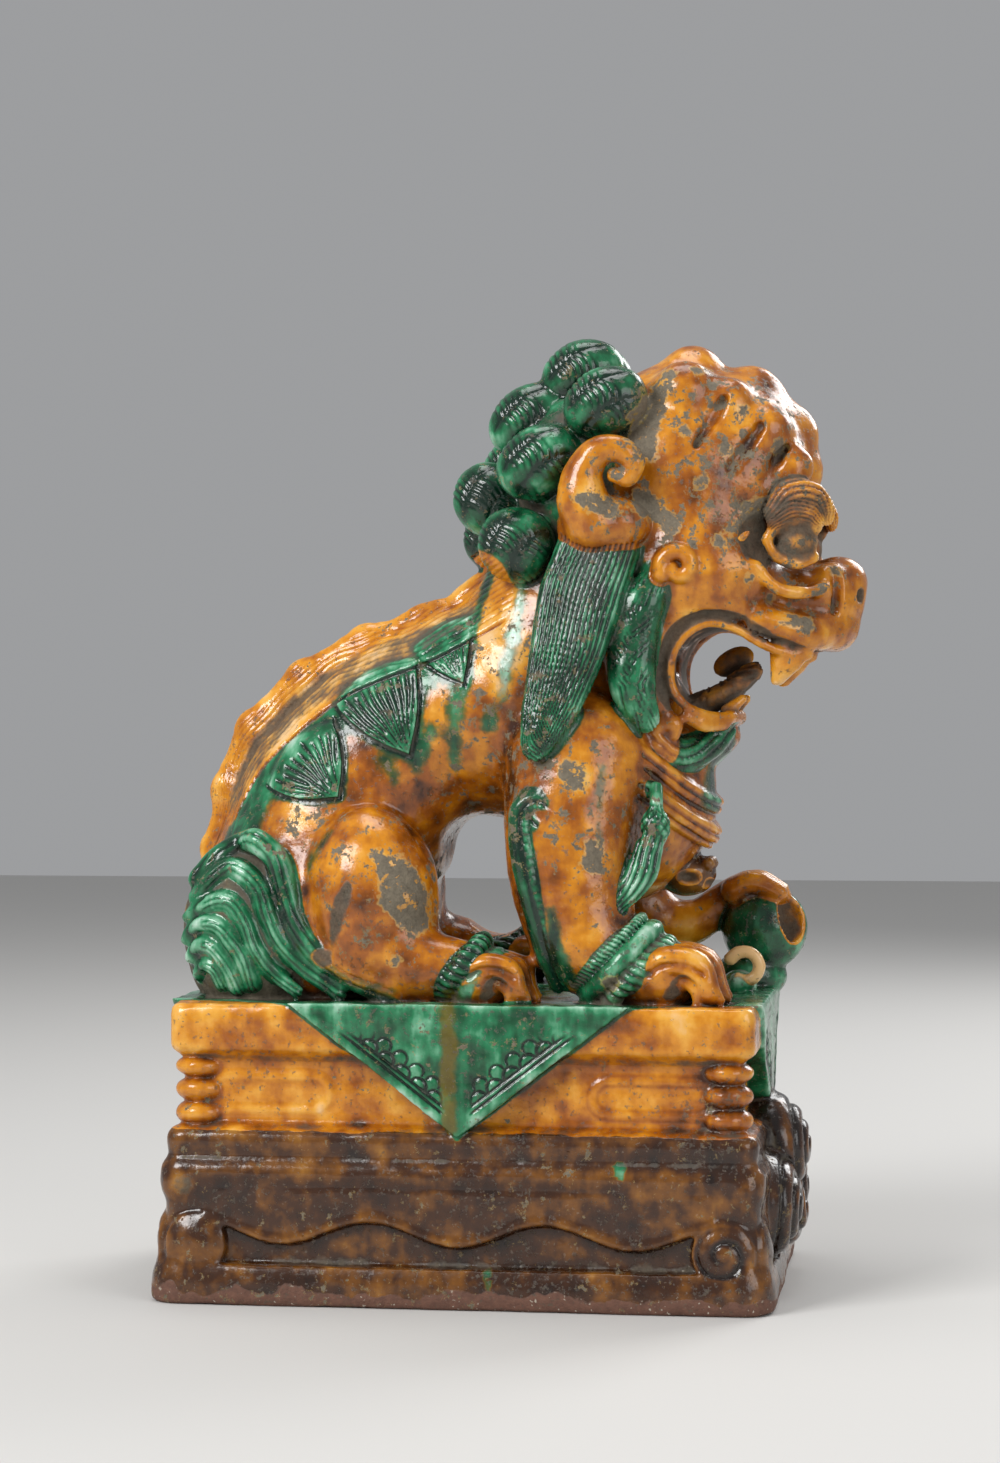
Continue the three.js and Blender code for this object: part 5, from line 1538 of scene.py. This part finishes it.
def mixGlaze():
    n = Nodes(material)
    broad, middle, small = n.noise(34, 2), n.noise(9, 4, shift=7), n.noise(2.6, 4, shift=3)
    drift = n.noise(7, 3, stretch=(1, 1, 5), shift=11)
    grain = n.noise(0.9, 2, shift=5)
    hollow, ridge = n.amount("hollow"), n.amount("ridge")
    pale, dirt = n.amount("pale"), n.amount("dirt")
    wobble = n.total(-0.62, (middle, 0.78), (small, 0.46))

    def mask(name, soft=0.07):
        return n.step(n.calc("ADD", n.amount(name), wobble), 0.5 - soft, 0.5 + soft)

    green, treacle, clay, bare = mask("green", 0.13), mask("treacle"), mask("clay", 0.15), mask("bare", 0.045)

    # each glaze goes darker where it pools in hollows and paler where it thins on ridges; the paler ridges
    # also stand for painted highlights
    amberDepth = n.total(-0.50, (broad, 0.9), (middle, 0.95), (drift, 0.5), (hollow, 0.36), (ridge, -0.18),
                         (pale, -0.62))
    amber = n.ramp(amberDepth, glazeColours["amber"])
    greenDepth = n.total(-0.36, (broad, 0.4), (middle, 0.95), (drift, 1.0), (hollow, 0.34), (ridge, -0.45),
                         (pale, -0.8))
    greenColour = n.ramp(greenDepth, glazeColours["green"])
    treacleDepth = n.total(-0.66, (broad, 0.8), (middle, 1.2), (drift, 0.5), (hollow, 0.3), (ridge, -0.35),
                           (pale, -0.4))
    treacleColour = n.ramp(treacleDepth, glazeColours["treacle"])

    colour = n.mix(green, amber, greenColour)
    # where amber and green have run together
    edge = n.calc("ADD", n.amount("green"), wobble)
    together = n.calc("MULTIPLY", n.step(edge, 0.26, 0.5), n.calc("SUBTRACT", 1.0, n.step(edge, 0.5, 0.85)))
    olive = n.ramp(middle, glazeColours["olive"])
    colour = n.mix(n.calc("MULTIPLY", together, 0.5), colour, olive)
    oliveRun = n.step(n.calc("ADD", n.amount("olive"), wobble), 0.3, 0.7)
    colour = n.mix(n.calc("MULTIPLY", oliveRun, 0.85), colour, olive)
    colour = n.mix(n.calc("MULTIPLY", treacle, n.calc("SUBTRACT", 1.0, green)), colour, treacleColour)
    colour = n.mix(clay, colour, n.ramp(small, glazeColours["clay"]))

    # flaked patches with a pale rim, and many small chips where the glaze is worn
    rim = n.step(n.calc("ADD", n.amount("bare"), wobble), 0.38, 0.45)
    flakes = n.noise(6.5, 8, shift=21, rough=0.72)
    chips = n.total(0.0, (flakes, 1.0), (n.amount("worn"), 0.088))
    chipped, chipRim = n.step(chips, 0.628, 0.642), n.step(chips, 0.612, 0.630)
    colour = n.mix(n.calc("MULTIPLY", n.calc("MAXIMUM", rim, chipRim), 0.4), colour, glazeColours["paleRim"])
    # islands of glaze are left in the flaked patches
    left = n.step(n.noise(4.5, 6, shift=45, rough=0.6), 0.58, 0.60)
    stripped = n.calc("MAXIMUM", n.calc("MULTIPLY", bare, n.calc("SUBTRACT", 1.0, left)), chipped)
    colour = n.mix(stripped, colour, n.ramp(n.total(-0.35, (small, 1.0), (grain, 0.7)), glazeColours["bare"]))

    # dirt and painted shade in the hollows, and pale specks on the base
    shadeAndDirtMask = n.total(-0.80, (dirt, 1.0), (hollow, 0.75), (middle, 0.7), (small, 0.5))
    shadeAndDirtMask = n.step(shadeAndDirtMask, 0.10, 0.62)
    flecks = n.step(n.total(0.0, (n.noise(2.6, 6, shift=41, rough=0.68), 1.0), (broad, 0.22)), 0.70, 0.76)
    shadeAndDirtMask = n.calc("MAXIMUM", shadeAndDirtMask, n.calc("MULTIPLY", flecks, 0.7))
    grimeAndShade = n.ramp(n.total(-0.35, (small, 1.0), (grain, 0.7)), glazeColours["dirt"])
    colour = n.mix(n.calc("MULTIPLY", shadeAndDirtMask, 0.92), colour, grimeAndShade)
    speckle = n.step(n.noise(1.9, 3, shift=31), 0.66, 0.70)
    speckled = n.calc("MULTIPLY", speckle, n.total(0.0, (treacle, 0.12), (n.amount("clay"), 0.7)))
    colour = n.mix(speckled, colour, glazeColours["specks"])

    matt = n.calc("MAXIMUM", n.calc("MAXIMUM", stripped, clay), n.calc("MULTIPLY", shadeAndDirtMask, 0.95))
    gloss = n.total(0.06, (middle, 0.14), (small, 0.10))
    roughness = n.mixValue(matt, gloss, 0.82)

    # the edge of the glaze round a flake, the crackle and the fine unevenness
    height = n.total(0.0, (stripped, -0.28), (clay, -0.1), (small, 0.16), (grain, 0.05))
    height = n.total(height, (n.calc("MULTIPLY", matt, grain), 0.35))
    bump = n.put("ShaderNodeBump", {}, {"Strength": 0.8, "Distance": metre, "Height": height})
    shader = n.shader
    n.tree.links.new(colour, shader.inputs["Base Color"])
    n.tree.links.new(roughness, shader.inputs["Roughness"])
    n.tree.links.new(bump.outputs["Normal"], shader.inputs["Normal"])
    shader.inputs["IOR"].default_value = 1.56


print("mixing the glaze")
mixGlaze()


# Floor, light and camera

def plainFloor():
    stuff = bpy.data.materials.new("paleFloor")
    stuff.use_nodes = True
    surface = stuff.node_tree.nodes["Principled BSDF"]
    surface.inputs["Base Color"].default_value = (0.62, 0.61, 0.59, 1)
    surface.inputs["Roughness"].default_value = 0.75
    half = 4.0
    floorMesh = bpy.data.meshes.new("floor")
    floorMesh.from_pydata([(-half, -half, 0), (half, -half, 0), (half, half, 0), (-half, half, 0)], [],
                          [(0, 1, 2, 3)])
    floorMesh.materials.append(stuff)
    floor = bpy.data.objects.new("floor", floorMesh)
    bpy.context.scene.collection.objects.link(floor)


studio = {
    "lamps": [
        # name, where in metres, how wide, how strong
        ("key", (-1.0, -1.25, 1.2), 0.8, 27),
        ("fill", (1.3, -1.1, 0.7), 1.0, 8),
        ("back", (0.9, 1.4, 1.2), 0.9, 16),
        ("top", (0.0, 0.1, 1.7), 0.8, 8),
    ],
    "aim": (0.0, 0.0, 0.2),
    "world": (0.80, 0.81, 0.83),
    "worldStrength": 0.42,
}


def softLight():
    for name, at, width, power in studio["lamps"]:
        lamp = bpy.data.lights.new(name, "AREA")
        lamp.size = width
        lamp.energy = power
        holder = bpy.data.objects.new(name, lamp)
        holder.location = at
        holder.rotation_euler = (Vector(studio["aim"]) - Vector(at)).to_track_quat("-Z", "Y").to_euler()
        bpy.context.scene.collection.objects.link(holder)
    world = bpy.data.worlds.new("studio")
    world.use_nodes = True
    sky = world.node_tree.nodes["Background"]
    sky.inputs["Color"].default_value = (*studio["world"], 1)
    sky.inputs["Strength"].default_value = studio["worldStrength"]
    bpy.context.scene.world = world


view = {
    "azimuth": 8.0,         # degrees round towards the lion's face
    "distance": 1.495,
    "aside": 0.0065,
    "height": 0.250,
    "lens": 80.0,           # millimetres, on a frame whose long side is 36
}


def photoCamera():
    a = math.radians(view["azimuth"])
    forward, right = (-math.sin(a), math.cos(a)), (math.cos(a), math.sin(a))
    data = bpy.data.cameras.new("camera")
    data.lens = view["lens"]
    data.sensor_width = 36
    camera = bpy.data.objects.new("camera", data)
    camera.location = (right[0] * view["aside"] - forward[0] * view["distance"],
                       right[1] * view["aside"] - forward[1] * view["distance"], view["height"])
    camera.rotation_euler = (math.pi / 2, 0, a)
    bpy.context.scene.collection.objects.link(camera)
    bpy.context.scene.camera = camera


plainFloor()
softLight()
photoCamera()
bpy.context.scene.view_settings.view_transform = "Standard"
